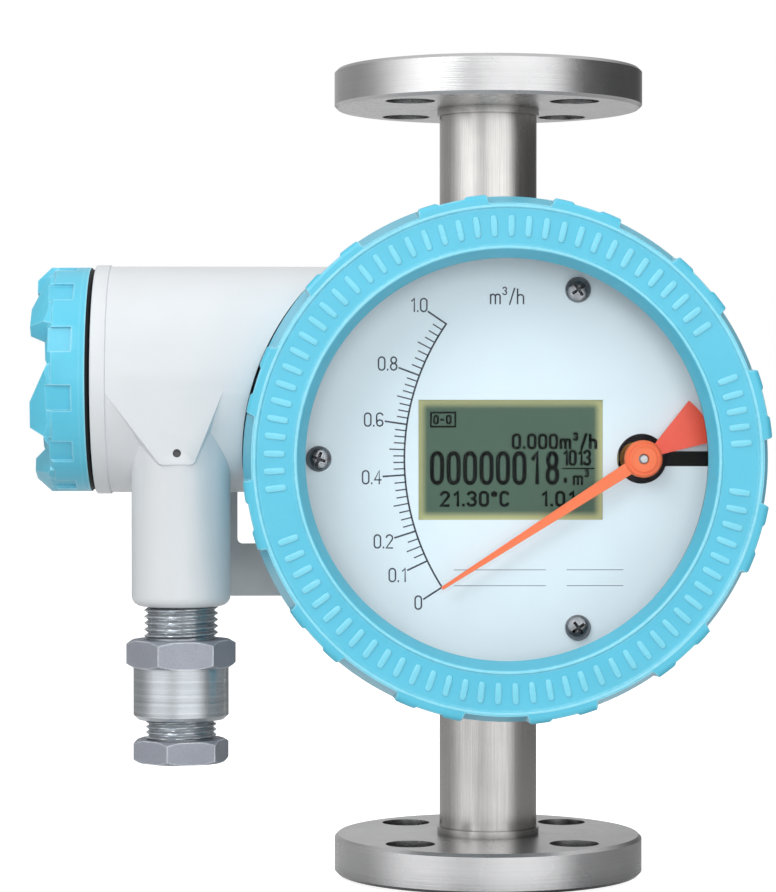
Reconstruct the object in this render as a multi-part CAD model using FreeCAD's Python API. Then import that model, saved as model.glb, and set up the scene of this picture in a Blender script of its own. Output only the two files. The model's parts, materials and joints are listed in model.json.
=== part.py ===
import FreeCAD, Part
import math
import os

V = FreeCAD.Vector
X_AXIS = V(1, 0, 0)
Y_AXIS = V(0, 1, 0)
Z_AXIS = V(0, 0, 1)

# Frame: the tube stands on Z, the dial looks towards -Y, and the origin is the centre
# of the lower flange's sealing face.

# Measuring tube and flanges
FACE_TO_FACE = 250.0
TUBE_OD = 30.0
FLANGE_OD = 95.0
FLANGE_THICK = 12.0
RAISED_FACE_ROOM = 2.0
RAISED_FACE_H = 1.0
PORT_D = 16.0
PORT_LENGTH = 6.0
BOLT_SET_IN = 12.5
BOLT_HOLE_D = 15.0
BOLT_COUNT = 4
BOLT_FIRST_DEG = 45.0
FLANGE_EDGE = 1.0
WELD_HEIGHT = 2.2
WELD_PROUD = 0.7
SOCKET_CLEARANCE = 0.05

# Metering cone, float guides and circlips
TUBE_WALL = 3.0
GUIDE_SEAT = 1.0
THROAT_SEAT = 2.3
THROAT_Z = 86.0
THROAT_LAND = 4.0
CONE_TOP_Z = 132.0
LOWER_GUIDE_Z = 56.0
UPPER_GUIDE_Z = 192.0
GUIDE_THICK = 5.0
GUIDE_RIM = 2.0
GUIDE_HUB_D = 9.0
GUIDE_SPOKE_W = 2.0
GUIDE_FIT = 0.05
CIRCLIP_THICK = 1.2
CIRCLIP_GROOVE = 1.0
CIRCLIP_WIDTH = 2.2
CIRCLIP_GAP_DEG = 30.0

# Float
FLOAT_TRAVEL = 40.0
ROD_D = 4.0
ROD_FIT = 0.08
ROD_POINT = 0.5
ROD_POINT_L = 1.0
ROD_ENGAGED = 4.0
ROD_TOP_MARGIN = 3.0
FLOAT_CLEARANCE = 0.4
FLOAT_EDGE_H = 3.0
FLOAT_CONE_H = 12.0
FLOAT_NECK_D = 7.2
STOP_COLLAR_H = 4.0
COLLAR_TAPER_H = 1.5
HEAD_TAPER_H = 3.0
BARREL_SET_IN = 1.8
BARREL_EDGE = 1.0
MAGNET_WALL = 1.5
MAGNET_H = 18.0
MAGNET_FIT = 0.05
BARREL_WALL_END = 3.0

# Dial centre, measured up from the lower sealing face
DIAL_Z = 130.0

# Bracket plate between the tube and the indicator housing
SADDLE_GAP = 3.5
SADDLE_W = 24.0
SADDLE_H = 20.0
SADDLE_DEPTH = 10.5
SADDLE_FIT = 0.02
SADDLE_OFFSET = 32.0
SADDLE_SCREW_X = 7.5
BRACKET_THICK = 3.0
BRACKET_BAND_BOTTOM = -42.2
BRACKET_BAND_TOP = -26.4
BRACKET_TOP = 42.2
BRACKET_RIGHT = 48.0
BRACKET_SET_IN = 17.3
LEG_W = 22.0
NOTCH_RIGHT = -53.5
BRACKET_CORNER = 1.5
BRACKET_OUTER_CORNER = 6.0
BRACKET_SCREW_X = 30.0
BRACKET_SCREW_Z = 38.0
M5_D = 4.8
M5_HOLE_D = 5.5
M5_HEAD_D = 8.5
M5_HEAD_H = 5.0
M5_HEAD_EDGE = 0.5
M5_SOCKET_AF = 4.0
M5_REACH = 9.5
M5_HOLE_ROOM = 1.0
CSK_HEAD_D = 9.2
CSK_HEAD_H = 2.2
CSK_REACH = 2.7
CSK_TIP_GAP = 0.8
SCREW_FIT = 0.05

# Indicator housing: round chamber with a screwed neck
CHAMBER_OUTER_R = 70.0
CHAMBER_WALL = 8.0
CHAMBER_REAR_WALL = 5.5
CHAMBER_REAR_ROUND = 8.0
CHAMBER_DEPTH = 58.5
INNER_BOSS_D = 12.0
INNER_BOSS_H = 7.0
NECK_SHOULDER = 2.0
NECK_WALL = 4.0
NECK_LENGTH = 16.0
NECK_STEP = 6.0
NECK_EDGE = 1.0

# Arm with the terminal chamber, and the boss for the cable gland
ARM_DEPTH = 38.5
ARM_RISE = 22.7
ARM_R = 32.6
ARM_REACH = 46.3
COLLAR_PROUD = 0.4
COLLAR_LENGTH = 4.4
COLLAR_EDGE = 0.3
TERMINAL_THREAD_WALL = 4.0
TERMINAL_WALL = 5.6
TERMINAL_THREAD_L = 13.0
TERMINAL_DEPTH = 40.3
WIRE_HOLE_R = 5.0
PAD_SET_IN = 28.3
PAD_R = 7.0
PAD_SUNK = 6.0
BOSS_SET_IN = 24.9
BOSS_FORWARD = 18.0
BOSS_R = 14.0
BOSS_BOTTOM = -41.7
BOSS_ROUND = 3.0
WEB_SET_BACK = 0.2
WEB_TOP_FROM = 1.1
WEB_TOP_TO = 38.8
WEB_BOTTOM_FROM = 19.6
WEB_BOTTOM_TO = 29.1
WEB_BOTTOM_RISE = -1.5
WEB_DRAFT = 3.0
WEB_CORNER = 2.0
PLUG_HOLE_D = 2.3
PLUG_HOLE_SET_IN = 24.4
PLUG_HOLE_RISE = 1.7
PLUG_HOLE_DEPTH = 3.0
GLAND_BORE_RISE = 10.0
COVER_ROOM = 0.4

# Front cover: screwed ring with rim recesses
COVER_WALL = 5.5
COVER_DEPTH = 24.0
COVER_EDGE = 2.5
COVER_BACK_EDGE = 0.6
COVER_BEVEL_R = 2.1
WINDOW_LIP = 4.5
LIP_THICK = 6.0
LIP_LAND = 0.5
THREAD_CLEARANCE = 0.3
SEAL_POCKET_L = 4.5
RIM_TURN = 30.0
RIM_COUNT = 12
WIDE_RECESS_DEG = 14.5
WIDE_RECESS_AT = 27.3
WIDE_RECESS_DEPTH = 2.6
WIDE_RECESS_L = 12.0
NARROW_RECESS_DEG = 6.2
NARROW_RECESS_AT = 42.5
NARROW_RECESS_DEPTH = 0.65
GLASS_COLLAR_WALL = 3.5
COLLAR_BACK_GAP = 8.0
GLASS_THICK = 5.8
GLASS_EDGE = 0.5
GASKET_THICK = 0.7
GASKET_SET_BACK = 0.6
RETAINER_THICK = 3.0
RETAINER_WIDTH = 3.5
RETAINER_SLOTS = 4
RETAINER_SLOT_W = 4.0
RETAINER_SLOT_DEPTH = 1.5
RETAINER_SLOT_WALL = 1.2
O_RING_R = 1.25
O_RING_SUNK = 0.35
O_RING_FIT = 0.05
O_RING_BACK_GAP = 0.6

# End cap of the terminal chamber
CAP_SET_IN = 0.3
CAP_GAP = 1.4
CAP_SKIRT_L = 10.6
CAP_NECK_L = 11.7
CAP_NECK_WALL = 3.8
CAP_FACE_WALL = 5.5
CAP_EDGE = 1.2
CAP_POCKET_COUNT = 12
CAP_POCKET_DEG = 13.0
CAP_POCKET_AT = -10.0
CAP_POCKET_DEPTH = 0.9
CAP_POCKET_START = 3.9
LUG_COUNT = 6
LUG_FIRST_DEG = 48.0
LUG_HEIGHT = 5.2
LUG_BASE_STEEP = -10.6
LUG_BASE_GENTLE = 10.4
LUG_TOP_STEEP = -8.4
LUG_TOP_GENTLE = -1.1
LUG_BASE_IN = 22.5
LUG_BASE_EDGE = 0.7
LUG_TOP_IN = 23.5
LUG_TOP_EDGE = 5.0
LUG_ROOT = 1.0
CAP_SEAL_R = 1.5
CAP_SEAL_SET_IN = 2.2
CAP_SEAL_ROOM = 0.1

# Cable gland under the boss
GLAND_THREAD_D = 20.955
GLAND_THREAD_EXPOSED = 9.5
GLAND_THREAD_INSIDE = 14.0
GLAND_THREAD_FIT = 0.04
GLAND_THREAD_EDGE = 1.0
GLAND_HEX_AF = 27.0
GLAND_HEX_H = 7.8
GLAND_HEX_TURN = 8.0
GLAND_BODY_D = 27.0
GLAND_BODY_H = 14.7
GLAND_BORE_D = 13.0
NUT_THREAD_D = 20.0
NUT_THREAD_SHOWN = 5.7
NUT_THREAD_INSIDE = 5.5
NUT_THREAD_EDGE = 0.8
NUT_AF = 24.0
NUT_H = 6.5
NUT_TURN = 16.0
CABLE_BORE_D = 10.4
GLAND_WASHER_H = 1.4
GLAND_SEAL_H = 6.0
GLAND_SEAL_EDGE = 1.5
GLAND_CHAMFER = 1.2
HEX_CHAMFER_DEG = 30.0
HEX_CHAMFER_LAND = 0.3
STEM_OVERLAP = 1.0

# Dial, its screws and pillars; shares are of the dial's radius
DIAL_GAP = 1.0
DIAL_THICK = 1.0
DIAL_SCREW_SHARE = 0.8582
DIAL_SCREW_DEG = [180.0, 66.2, -66.2]
DIAL_SCREW_HEAD_D = 7.3
DIAL_SCREW_HEAD_H = 2.2
DIAL_SCREW_RIM_H = 0.7
DIAL_SCREW_D = 3.8
DIAL_SCREW_L = 9.0
CROSS_HALF_L = 2.1
CROSS_HALF_W = 0.45
CROSS_DEPTH = 1.5
CROSS_TURNS_DEG = [20.0, 55.0, 55.0]
DIAL_PILLAR_AF = 7.0
PILLAR_HOLE_ROOM = 1.0
PIVOT_SHARE = 0.64426
KEYHOLE_R = 7.1
KEYHOLE_SLOT_H = 4.3
LCD_LEFT_SHARE = -0.39508
LCD_RIGHT_SHARE = 0.4623
LCD_TOP_SHARE = 0.27377
LCD_BOTTOM_SHARE = -0.28361
LCD_FRAME_W = 4.6
LCD_FRAME_T = 4.0
LCD_OVERLAP = 0.6
LCD_GLASS_T = 2.4
LCD_BOARD_T = 1.6
LCD_GLASS_SET_BACK = 0.4

# Main circuit board; shares are of the dial's radius
BOARD_LEFT_SHARE = -0.7705
BOARD_RIGHT_SHARE = 0.2951
BOARD_HALF_H_SHARE = 0.4918
BOARD_STAND = 23.4
BOARD_THICK = 1.6
BOARD_PILLAR_INSET = 5.0
BOARD_PILLAR_SPAN_SHARE = 0.623
BOARD_PILLAR_SHORT = 3.0
BOARD_PILLAR_R = 2.8
BOARD_HOLE_R = 1.5
# Left, right, height, bottom and top of each block; then x, rise, radius and height of each drum
BOARD_BLOCKS = [(-30.0, -16.0, 2.5, -7.0, 7.0), (-6.0, 8.0, 6.0, 12.0, 20.0),
                (-12.0, 10.0, 5.0, -22.0, -16.0)]
BOARD_DRUMS = [(-32.0, 18.0, 4.0, 10.0), (-20.0, 19.0, 3.0, 8.0)]

# Movement that turns the pointer, placed from the pivot
SHAFT_R = 1.5
SHAFT_FIT = 0.05
SHAFT_END_GAP = 2.5
SHAFT_POINT = 0.5
FRAME_TO_LEFT = 14.3
FRAME_TO_RIGHT = 11.7
FRAME_HALF_H = 22.0
FRAME_CORNER = 4.0
FRAME_STAND = 9.0
FRAME_THICK = 2.0
BRIDGE_GAP = 24.0
POST_FROM_PIVOT = [-9.3, 4.7]
FRAME_POST_Z = 18.0
FRAME_POST_R = 2.4
BEARING_R = 3.5
BEARING_FLANGE_R = 4.6
BEARING_FLANGE_T = 0.8
BEARING_FIT = 0.02
LEVER_SHARE = 0.91858
LEVER_GAP = 6.2
LEVER_THICK = 1.6
LEVER_HALF_W = 3.0
LEVER_HUB_R = 4.0
LEVER_HUB_PROUD = 0.2
LEVER_HUB_BACK = 3.0
FOLLOWER_MAGNET_R = 4.0
FOLLOWER_MAGNET_H = 4.5
WEIGHT_R = 5.0
WEIGHT_AT = 13.0
WEIGHT_THICK = 4.0

# Pointer
POINTER_LOW_DEG = -32.7
POINTER_STAND = 3.0
NEEDLE_SHARE = 1.7201
NEEDLE_ROOT_W = 3.8
NEEDLE_TIP_W = 0.9
NEEDLE_THICK = 1.1
NEEDLE_FORWARD = 0.8
HUB_R = 5.3
HUB_THICK = 2.8
HUB_EDGE = 0.6
HUB_GROOVE_R = 4.0
HUB_GROOVE_W = 0.5
HUB_GROOVE_DEPTH = 0.4
TAIL_GAP = 0.7
TAIL_HALF_DEG = 19.0
TAIL_THICK = 0.6
SHAFT_SHOWN = 0.5

# Terminal block in the arm
BLOCK_SET_IN = 29.3
BLOCK_HALF_W = 15.0
BLOCK_HALF_H = 7.0
BLOCK_STEP_L = 4.0
BLOCK_STEP_H = 3.5
TERMINAL_PITCH = 9.0
TERMINAL_COUNT = 3
TERMINAL_RISE = 1.0
TERMINAL_POCKET_L = 3.0
TERMINAL_POCKET_ROOM = 0.3
TERMINAL_SCREW_R = 2.6
TERMINAL_SCREW_H = 2.0
TERMINAL_SLOT_W = 0.8
TERMINAL_SLOT_HALF_L = 4.0

# How far a cutting shape runs past what it cuts, and the middle of a quarter round
PAST = 1.0
ROUND_MIDDLE = 1 - math.sqrt(0.5)

# Radii that follow from the sizes above
TUBE_R = TUBE_OD / 2
GUIDE_BORE_R = TUBE_R - TUBE_WALL
METERING_BORE_R = GUIDE_BORE_R - GUIDE_SEAT
THROAT_R = METERING_BORE_R - THROAT_SEAT
FLOAT_HEAD_R = THROAT_R - FLOAT_CLEARANCE
BARREL_R = FLOAT_HEAD_R - BARREL_SET_IN
MAGNET_R = BARREL_R - MAGNET_WALL
BOLT_CIRCLE_R = FLANGE_OD / 2 - BOLT_SET_IN
RAISED_FACE_R = BOLT_CIRCLE_R - BOLT_HOLE_D / 2 - RAISED_FACE_ROOM
NECK_OUTER_R = CHAMBER_OUTER_R - NECK_SHOULDER
NECK_INNER_R = NECK_OUTER_R - NECK_WALL
CHAMBER_INNER_R = CHAMBER_OUTER_R - CHAMBER_WALL
COVER_R = NECK_OUTER_R + COVER_WALL
O_RING_AT = NECK_OUTER_R - O_RING_SUNK
GLASS_POCKET_R = NECK_INNER_R - GLASS_COLLAR_WALL
COVER_INNER_R = GLASS_POCKET_R - COVER_BEVEL_R
WINDOW_R = GLASS_POCKET_R - WINDOW_LIP
RETAINER_INNER_R = GLASS_POCKET_R - RETAINER_WIDTH
TERMINAL_THREAD_R = ARM_R - TERMINAL_THREAD_WALL
TERMINAL_BORE_R = ARM_R - TERMINAL_WALL
CAP_R = ARM_R - CAP_SET_IN
CAP_SEAL_AT = ARM_R - CAP_SEAL_SET_IN
CAP_NECK_R = TERMINAL_THREAD_R - THREAD_CLEARANCE
DIAL_R = CHAMBER_INNER_R - DIAL_GAP

# Places from back to front
FLANGE_BACK = RAISED_FACE_H + FLANGE_THICK
BRACKET_BACK_Y = -(TUBE_R + SADDLE_GAP)
HOUSING_BACK_Y = BRACKET_BACK_Y - BRACKET_THICK
INNER_WALL_Y = HOUSING_BACK_Y - CHAMBER_REAR_WALL
SHAFT_BACK_Y = INNER_WALL_Y - SHAFT_END_GAP
LEVER_Y = INNER_WALL_Y - LEVER_GAP
FRAME_BACK_Y = INNER_WALL_Y - FRAME_STAND
BOARD_Y = INNER_WALL_Y - BOARD_STAND
BRIDGE_BACK_Y = FRAME_BACK_Y - BRIDGE_GAP
ARM_Y = HOUSING_BACK_Y - ARM_DEPTH
BOSS_Y = ARM_Y - BOSS_FORWARD
WEB_FACE_Y = ARM_Y - ARM_R + WEB_SET_BACK
COVER_BACK_Y = HOUSING_BACK_Y - CHAMBER_DEPTH
NECK_STEP_Y = COVER_BACK_Y - NECK_STEP
NECK_MOUTH_Y = COVER_BACK_Y - NECK_LENGTH
COVER_FRONT_Y = COVER_BACK_Y - COVER_DEPTH
COLLAR_BACK_Y = COVER_BACK_Y - COLLAR_BACK_GAP
LIP_REAR_Y = COVER_FRONT_Y + LIP_THICK
GLASS_FRONT_Y = LIP_REAR_Y + GASKET_THICK
GLASS_BACK_Y = GLASS_FRONT_Y + GLASS_THICK
DIAL_FRONT_Y = COVER_BACK_Y
DIAL_BACK_Y = DIAL_FRONT_Y + DIAL_THICK
POINTER_BACK_Y = DIAL_FRONT_Y - POINTER_STAND

# Places along the arm
ARM_END_X = -(CHAMBER_OUTER_R + ARM_REACH)
TERMINAL_INNER_X = ARM_END_X + TERMINAL_DEPTH
PAD_X = ARM_END_X + PAD_SET_IN
BOSS_X = ARM_END_X + BOSS_SET_IN
BLOCK_X = ARM_END_X + BLOCK_SET_IN
BRACKET_LEFT = ARM_END_X + BRACKET_SET_IN
LEG_RIGHT = BRACKET_LEFT + LEG_W
CAP_SHOULDER_X = ARM_END_X - CAP_GAP
CAP_FACE_X = CAP_SHOULDER_X - CAP_SKIRT_L

# Heights
ARM_Z = DIAL_Z + ARM_RISE
BOSS_BOTTOM_Z = DIAL_Z + BOSS_BOTTOM
GLAND_BORE_TOP = DIAL_Z + GLAND_BORE_RISE
GLAND_HEX_TOP = BOSS_BOTTOM_Z - GLAND_THREAD_EXPOSED
GLAND_HEX_BOTTOM = GLAND_HEX_TOP - GLAND_HEX_H
GLAND_BODY_BOTTOM = GLAND_HEX_BOTTOM - GLAND_BODY_H
NUT_HEX_TOP = GLAND_BODY_BOTTOM - NUT_THREAD_SHOWN
NUT_BOTTOM = NUT_HEX_TOP - NUT_H
NUT_TOP = GLAND_BODY_BOTTOM + NUT_THREAD_INSIDE
FLOAT_REST_Z = LOWER_GUIDE_Z
FLOAT_HEAD_Z = THROAT_Z - FLOAT_CONE_H
MAGNET_Z = DIAL_Z - FLOAT_TRAVEL / 2

# Places on the dial
PIVOT_X = DIAL_R * PIVOT_SHARE
LCD_LEFT = DIAL_R * LCD_LEFT_SHARE
LCD_RIGHT = DIAL_R * LCD_RIGHT_SHARE
LCD_TOP = DIAL_R * LCD_TOP_SHARE
LCD_BOTTOM = DIAL_R * LCD_BOTTOM_SHARE
BOARD_LEFT = DIAL_R * BOARD_LEFT_SHARE
BOARD_RIGHT = DIAL_R * BOARD_RIGHT_SHARE
BOARD_HALF_H = DIAL_R * BOARD_HALF_H_SHARE
BOARD_PILLAR_Z = BOARD_HALF_H - BOARD_PILLAR_SHORT
BOARD_PILLAR_SPAN = DIAL_R * BOARD_PILLAR_SPAN_SHARE
NEEDLE_LENGTH = PIVOT_X * NEEDLE_SHARE
LEVER_RADIUS = PIVOT_X * LEVER_SHARE
TAIL_R = DIAL_R - PIVOT_X - TAIL_GAP
FRAME_LEFT = PIVOT_X - FRAME_TO_LEFT
FRAME_RIGHT = PIVOT_X + FRAME_TO_RIGHT


def corner(origin, radial, axis, r, s):
    return origin + radial * r + axis * s


def turned(profile, origin, axis, radial, degrees=360):
    """A turned solid. The profile is a closed run of (radius, station along the axis).
    A corner of four numbers is reached by an arc through its first two."""
    points = [corner(origin, radial, axis, *p[-2:]) for p in profile]
    edges = []
    for i, p in enumerate(profile):
        start = points[i - 1]
        if len(p) == 4:
            middle = corner(origin, radial, axis, p[0], p[1])
            edges.append(Part.Arc(start, middle, points[i]).toShape())
        elif start.distanceToPoint(points[i]) > 1e-7:
            edges.append(Part.LineSegment(start, points[i]).toShape())
    face = Part.Face(Part.Wire(edges))
    return face.revolve(origin, axis, degrees)


def turned_z(profile, x=0.0, y=0.0):
    """Turned about a vertical axis; stations are heights."""
    return turned(profile, V(x, y, 0), Z_AXIS, X_AXIS)


def turned_y(profile, x=0.0, z=DIAL_Z):
    """Turned about an axis that runs front to back; stations are Y."""
    return turned(profile, V(x, 0, z), Y_AXIS, X_AXIS)


def turned_x(profile):
    """Turned about the arm's axis; stations are X."""
    return turned(profile, V(0, ARM_Y, ARM_Z), X_AXIS, Y_AXIS)


def rod_y(r, y0, y1, x=0.0, rise=0.0):
    low, high = min(y0, y1), max(y0, y1)
    return Part.makeCylinder(r, high - low, V(x, low, DIAL_Z + rise), Y_AXIS)


def rod_x(r, x0, x1, y=ARM_Y, z=ARM_Z):
    return Part.makeCylinder(r, x1 - x0, V(x0, y, z), X_AXIS)


def rod_z(r, z0, z1, x=0.0, y=0.0):
    return Part.makeCylinder(r, z1 - z0, V(x, y, z0))


def box(x0, x1, y0, y1, z0, z1):
    return Part.makeBox(x1 - x0, y1 - y0, z1 - z0, V(x0, y0, z0))


def prism(points, direction):
    """A flat outline pushed along a direction."""
    return Part.Face(Part.makePolygon(points + points[:1])).extrude(direction)


def front_plate(outline, y_front, y_back):
    """A plate that faces the front, from an outline of (x, rise above the dial centre)."""
    points = [V(x, y_front, DIAL_Z + rise) for x, rise in outline]
    return prism(points, V(0, y_back - y_front, 0))


def hexagon(across_flats, base, height, direction, turn=0.0):
    """A hexagonal bar that stands on base and points along direction."""
    r = across_flats / math.sqrt(3)
    side = X_AXIS if abs(direction.x) < 0.5 else Y_AXIS
    other = direction.cross(side)
    points = []
    for i in range(6):
        a = math.radians(60 * i + turn)
        points.append(base + side * (r * math.cos(a)) + other * (r * math.sin(a)))
    return prism(points, direction * height)


def round_corners(shape, radius, direction, wanted):
    """Round the straight edges that run along direction and whose middle is wanted."""
    edges = []
    for edge in shape.Edges:
        if len(edge.Vertexes) != 2 or not isinstance(edge.Curve, Part.Line):
            continue
        run = edge.Vertexes[1].Point - edge.Vertexes[0].Point
        if run.cross(direction).Length < 1e-6 * run.Length and wanted(edge.CenterOfMass):
            edges.append(edge)
    return shape.makeFillet(radius, edges)


def ring_of(shape, count, centre, axis, first=0.0):
    """Copies of a shape, evenly spaced about an axis."""
    copies = []
    for i in range(count):
        copy = shape.copy()
        copy.rotate(centre, axis, first + 360.0 * i / count)
        copies.append(copy)
    return copies


def save(name, shape):
    shape.exportStep("parts/" + name + ".step")


# Flanges and tube

def flange(face_z, up):
    """A flat flange with a raised sealing face at face_z; up is +1 where its back looks up."""
    radius = FLANGE_OD / 2
    port = PORT_D / 2
    socket = TUBE_R + SOCKET_CLEARANCE
    profile = [
        (port, 0),
        (RAISED_FACE_R, 0),
        (RAISED_FACE_R, RAISED_FACE_H),
        (radius - FLANGE_EDGE, RAISED_FACE_H),
        (radius, RAISED_FACE_H + FLANGE_EDGE),
        (radius, FLANGE_BACK - FLANGE_EDGE),
        (radius - FLANGE_EDGE, FLANGE_BACK),
        (socket, FLANGE_BACK),
        (socket, PORT_LENGTH),
        (port, PORT_LENGTH),
    ]
    body = turned_z([(r, face_z + up * s) for r, s in profile])
    hole = rod_z(BOLT_HOLE_D / 2, face_z - FLANGE_BACK, face_z + FLANGE_BACK, BOLT_CIRCLE_R)
    return body.cut(ring_of(hole, BOLT_COUNT, V(0, 0, 0), Z_AXIS, BOLT_FIRST_DEG))


def measuring_tube():
    """The tube with its weld rings; the bore narrows to a throat and opens as a cone."""
    low = PORT_LENGTH
    high = FACE_TO_FACE - PORT_LENGTH
    weld = TUBE_R + WELD_PROUD
    outside = [
        (TUBE_R, high),
        (TUBE_R, FACE_TO_FACE - FLANGE_BACK),
        (weld, FACE_TO_FACE - FLANGE_BACK),
        (weld, FACE_TO_FACE - FLANGE_BACK - WELD_HEIGHT),
        (TUBE_R, FACE_TO_FACE - FLANGE_BACK - WELD_HEIGHT),
        (TUBE_R, FLANGE_BACK + WELD_HEIGHT),
        (weld, FLANGE_BACK + WELD_HEIGHT),
        (weld, FLANGE_BACK),
        (TUBE_R, FLANGE_BACK),
        (TUBE_R, low),
    ]
    guide = GUIDE_BORE_R
    groove = guide + CIRCLIP_GROOVE
    chamber = METERING_BORE_R
    clip_low = LOWER_GUIDE_Z - GUIDE_THICK
    clip_high = UPPER_GUIDE_Z + GUIDE_THICK
    inside = [
        (guide, low),
        (guide, clip_low - CIRCLIP_THICK),
        (groove, clip_low - CIRCLIP_THICK),
        (groove, clip_low),
        (guide, clip_low),
        (guide, LOWER_GUIDE_Z),
        (chamber, LOWER_GUIDE_Z),
        (chamber, THROAT_Z - FLOAT_CONE_H),
        (THROAT_R, THROAT_Z),
        (THROAT_R, THROAT_Z + THROAT_LAND),
        (chamber, CONE_TOP_Z),
        (chamber, UPPER_GUIDE_Z),
        (guide, UPPER_GUIDE_Z),
        (guide, clip_high),
        (groove, clip_high),
        (groove, clip_high + CIRCLIP_THICK),
        (guide, clip_high + CIRCLIP_THICK),
        (guide, high),
    ]
    return turned_z(inside + outside)


def float_guide(z0):
    """A ring with three spokes and a hub that the float's rod slides in."""
    z1 = z0 + GUIDE_THICK
    outer = GUIDE_BORE_R - GUIDE_FIT
    inner = outer - GUIDE_RIM
    rim = rod_z(outer, z0, z1).cut(rod_z(inner, z0, z1))
    hub = rod_z(GUIDE_HUB_D / 2, z0, z1)
    spoke = box(0, inner + GUIDE_RIM / 2, -GUIDE_SPOKE_W / 2, GUIDE_SPOKE_W / 2, z0, z1)
    body = rim.fuse([hub] + ring_of(spoke, 3, V(0, 0, 0), Z_AXIS, 90.0))
    return body.cut(rod_z(ROD_D / 2 + ROD_FIT, z0, z1)).removeSplitter()


def circlip(z0):
    """An open spring ring that sits in its groove under a guide."""
    outer = GUIDE_BORE_R + CIRCLIP_GROOVE - GUIDE_FIT
    inner = outer - CIRCLIP_WIDTH
    half = CIRCLIP_GAP_DEG / 2
    ring = turned([(inner, 0), (outer, 0), (outer, CIRCLIP_THICK), (inner, CIRCLIP_THICK)],
                  V(0, 0, z0), Z_AXIS, X_AXIS, 360 - CIRCLIP_GAP_DEG)
    ring.rotate(V(0, 0, z0), Z_AXIS, half)
    return ring


# Float

def float_body():
    """Lower rod, stop collar, metering head and the barrel that holds the magnet."""
    rod = ROD_D / 2
    head = FLOAT_HEAD_R
    barrel = BARREL_R
    pocket = MAGNET_R + MAGNET_FIT
    bottom = LOWER_GUIDE_Z - GUIDE_THICK - FLOAT_TRAVEL + ROD_ENGAGED
    edge = THROAT_Z
    neck = FLOAT_NECK_D / 2
    barrel_low = MAGNET_Z - MAGNET_H / 2 - BARREL_WALL_END
    barrel_high = MAGNET_Z + MAGNET_H / 2 + BARREL_WALL_END
    profile = [
        (0, bottom),
        (rod - ROD_POINT, bottom),
        (rod, bottom + ROD_POINT_L),
        (rod, FLOAT_REST_Z),
        (neck, FLOAT_REST_Z),
        (neck, FLOAT_REST_Z + STOP_COLLAR_H),
        (rod, FLOAT_REST_Z + STOP_COLLAR_H + COLLAR_TAPER_H),
        (rod, FLOAT_HEAD_Z),
        (head, edge),
        (head, edge + FLOAT_EDGE_H),
        (neck, edge + FLOAT_EDGE_H + HEAD_TAPER_H),
        (neck, barrel_low - 2 * BARREL_EDGE),
        (barrel - BARREL_EDGE, barrel_low - BARREL_EDGE),
        (barrel, barrel_low),
        (barrel, barrel_high),
        (pocket, barrel_high),
        (pocket, MAGNET_Z - MAGNET_H / 2),
        (0, MAGNET_Z - MAGNET_H / 2),
    ]
    return turned_z(profile)


def float_rod():
    """Upper rod, turned in one with the plug that closes the barrel over the magnet."""
    rod = ROD_D / 2
    barrel = BARREL_R
    plug = MAGNET_R
    magnet_top = MAGNET_Z + MAGNET_H / 2
    barrel_high = magnet_top + BARREL_WALL_END
    top = UPPER_GUIDE_Z + GUIDE_THICK + ROD_TOP_MARGIN
    profile = [
        (0, magnet_top),
        (plug, magnet_top),
        (plug, barrel_high),
        (barrel, barrel_high),
        (barrel, barrel_high + BARREL_EDGE),
        (rod, barrel_high + BARREL_EDGE + HEAD_TAPER_H),
        (rod, top - ROD_POINT_L),
        (rod - ROD_POINT, top),
        (0, top),
    ]
    return turned_z(profile)


def float_magnet():
    return rod_z(MAGNET_R, MAGNET_Z - MAGNET_H / 2, MAGNET_Z + MAGNET_H / 2)


# Bracket

def saddle(rise):
    """A block hollowed to the tube, welded on it to carry the bracket."""
    z0 = DIAL_Z + rise - SADDLE_H / 2
    z1 = z0 + SADDLE_H
    half = SADDLE_W / 2
    block = box(-half, half, BRACKET_BACK_Y, BRACKET_BACK_Y + SADDLE_DEPTH, z0, z1)
    block = block.cut(rod_z(TUBE_R + SADDLE_FIT, z0, z1))
    holes = []
    for x in (-SADDLE_SCREW_X, SADDLE_SCREW_X):
        holes.append(rod_y(M5_D / 2 + SCREW_FIT, BRACKET_BACK_Y, -TUBE_R + CSK_REACH, x, rise))
    return block.cut(holes)


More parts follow.
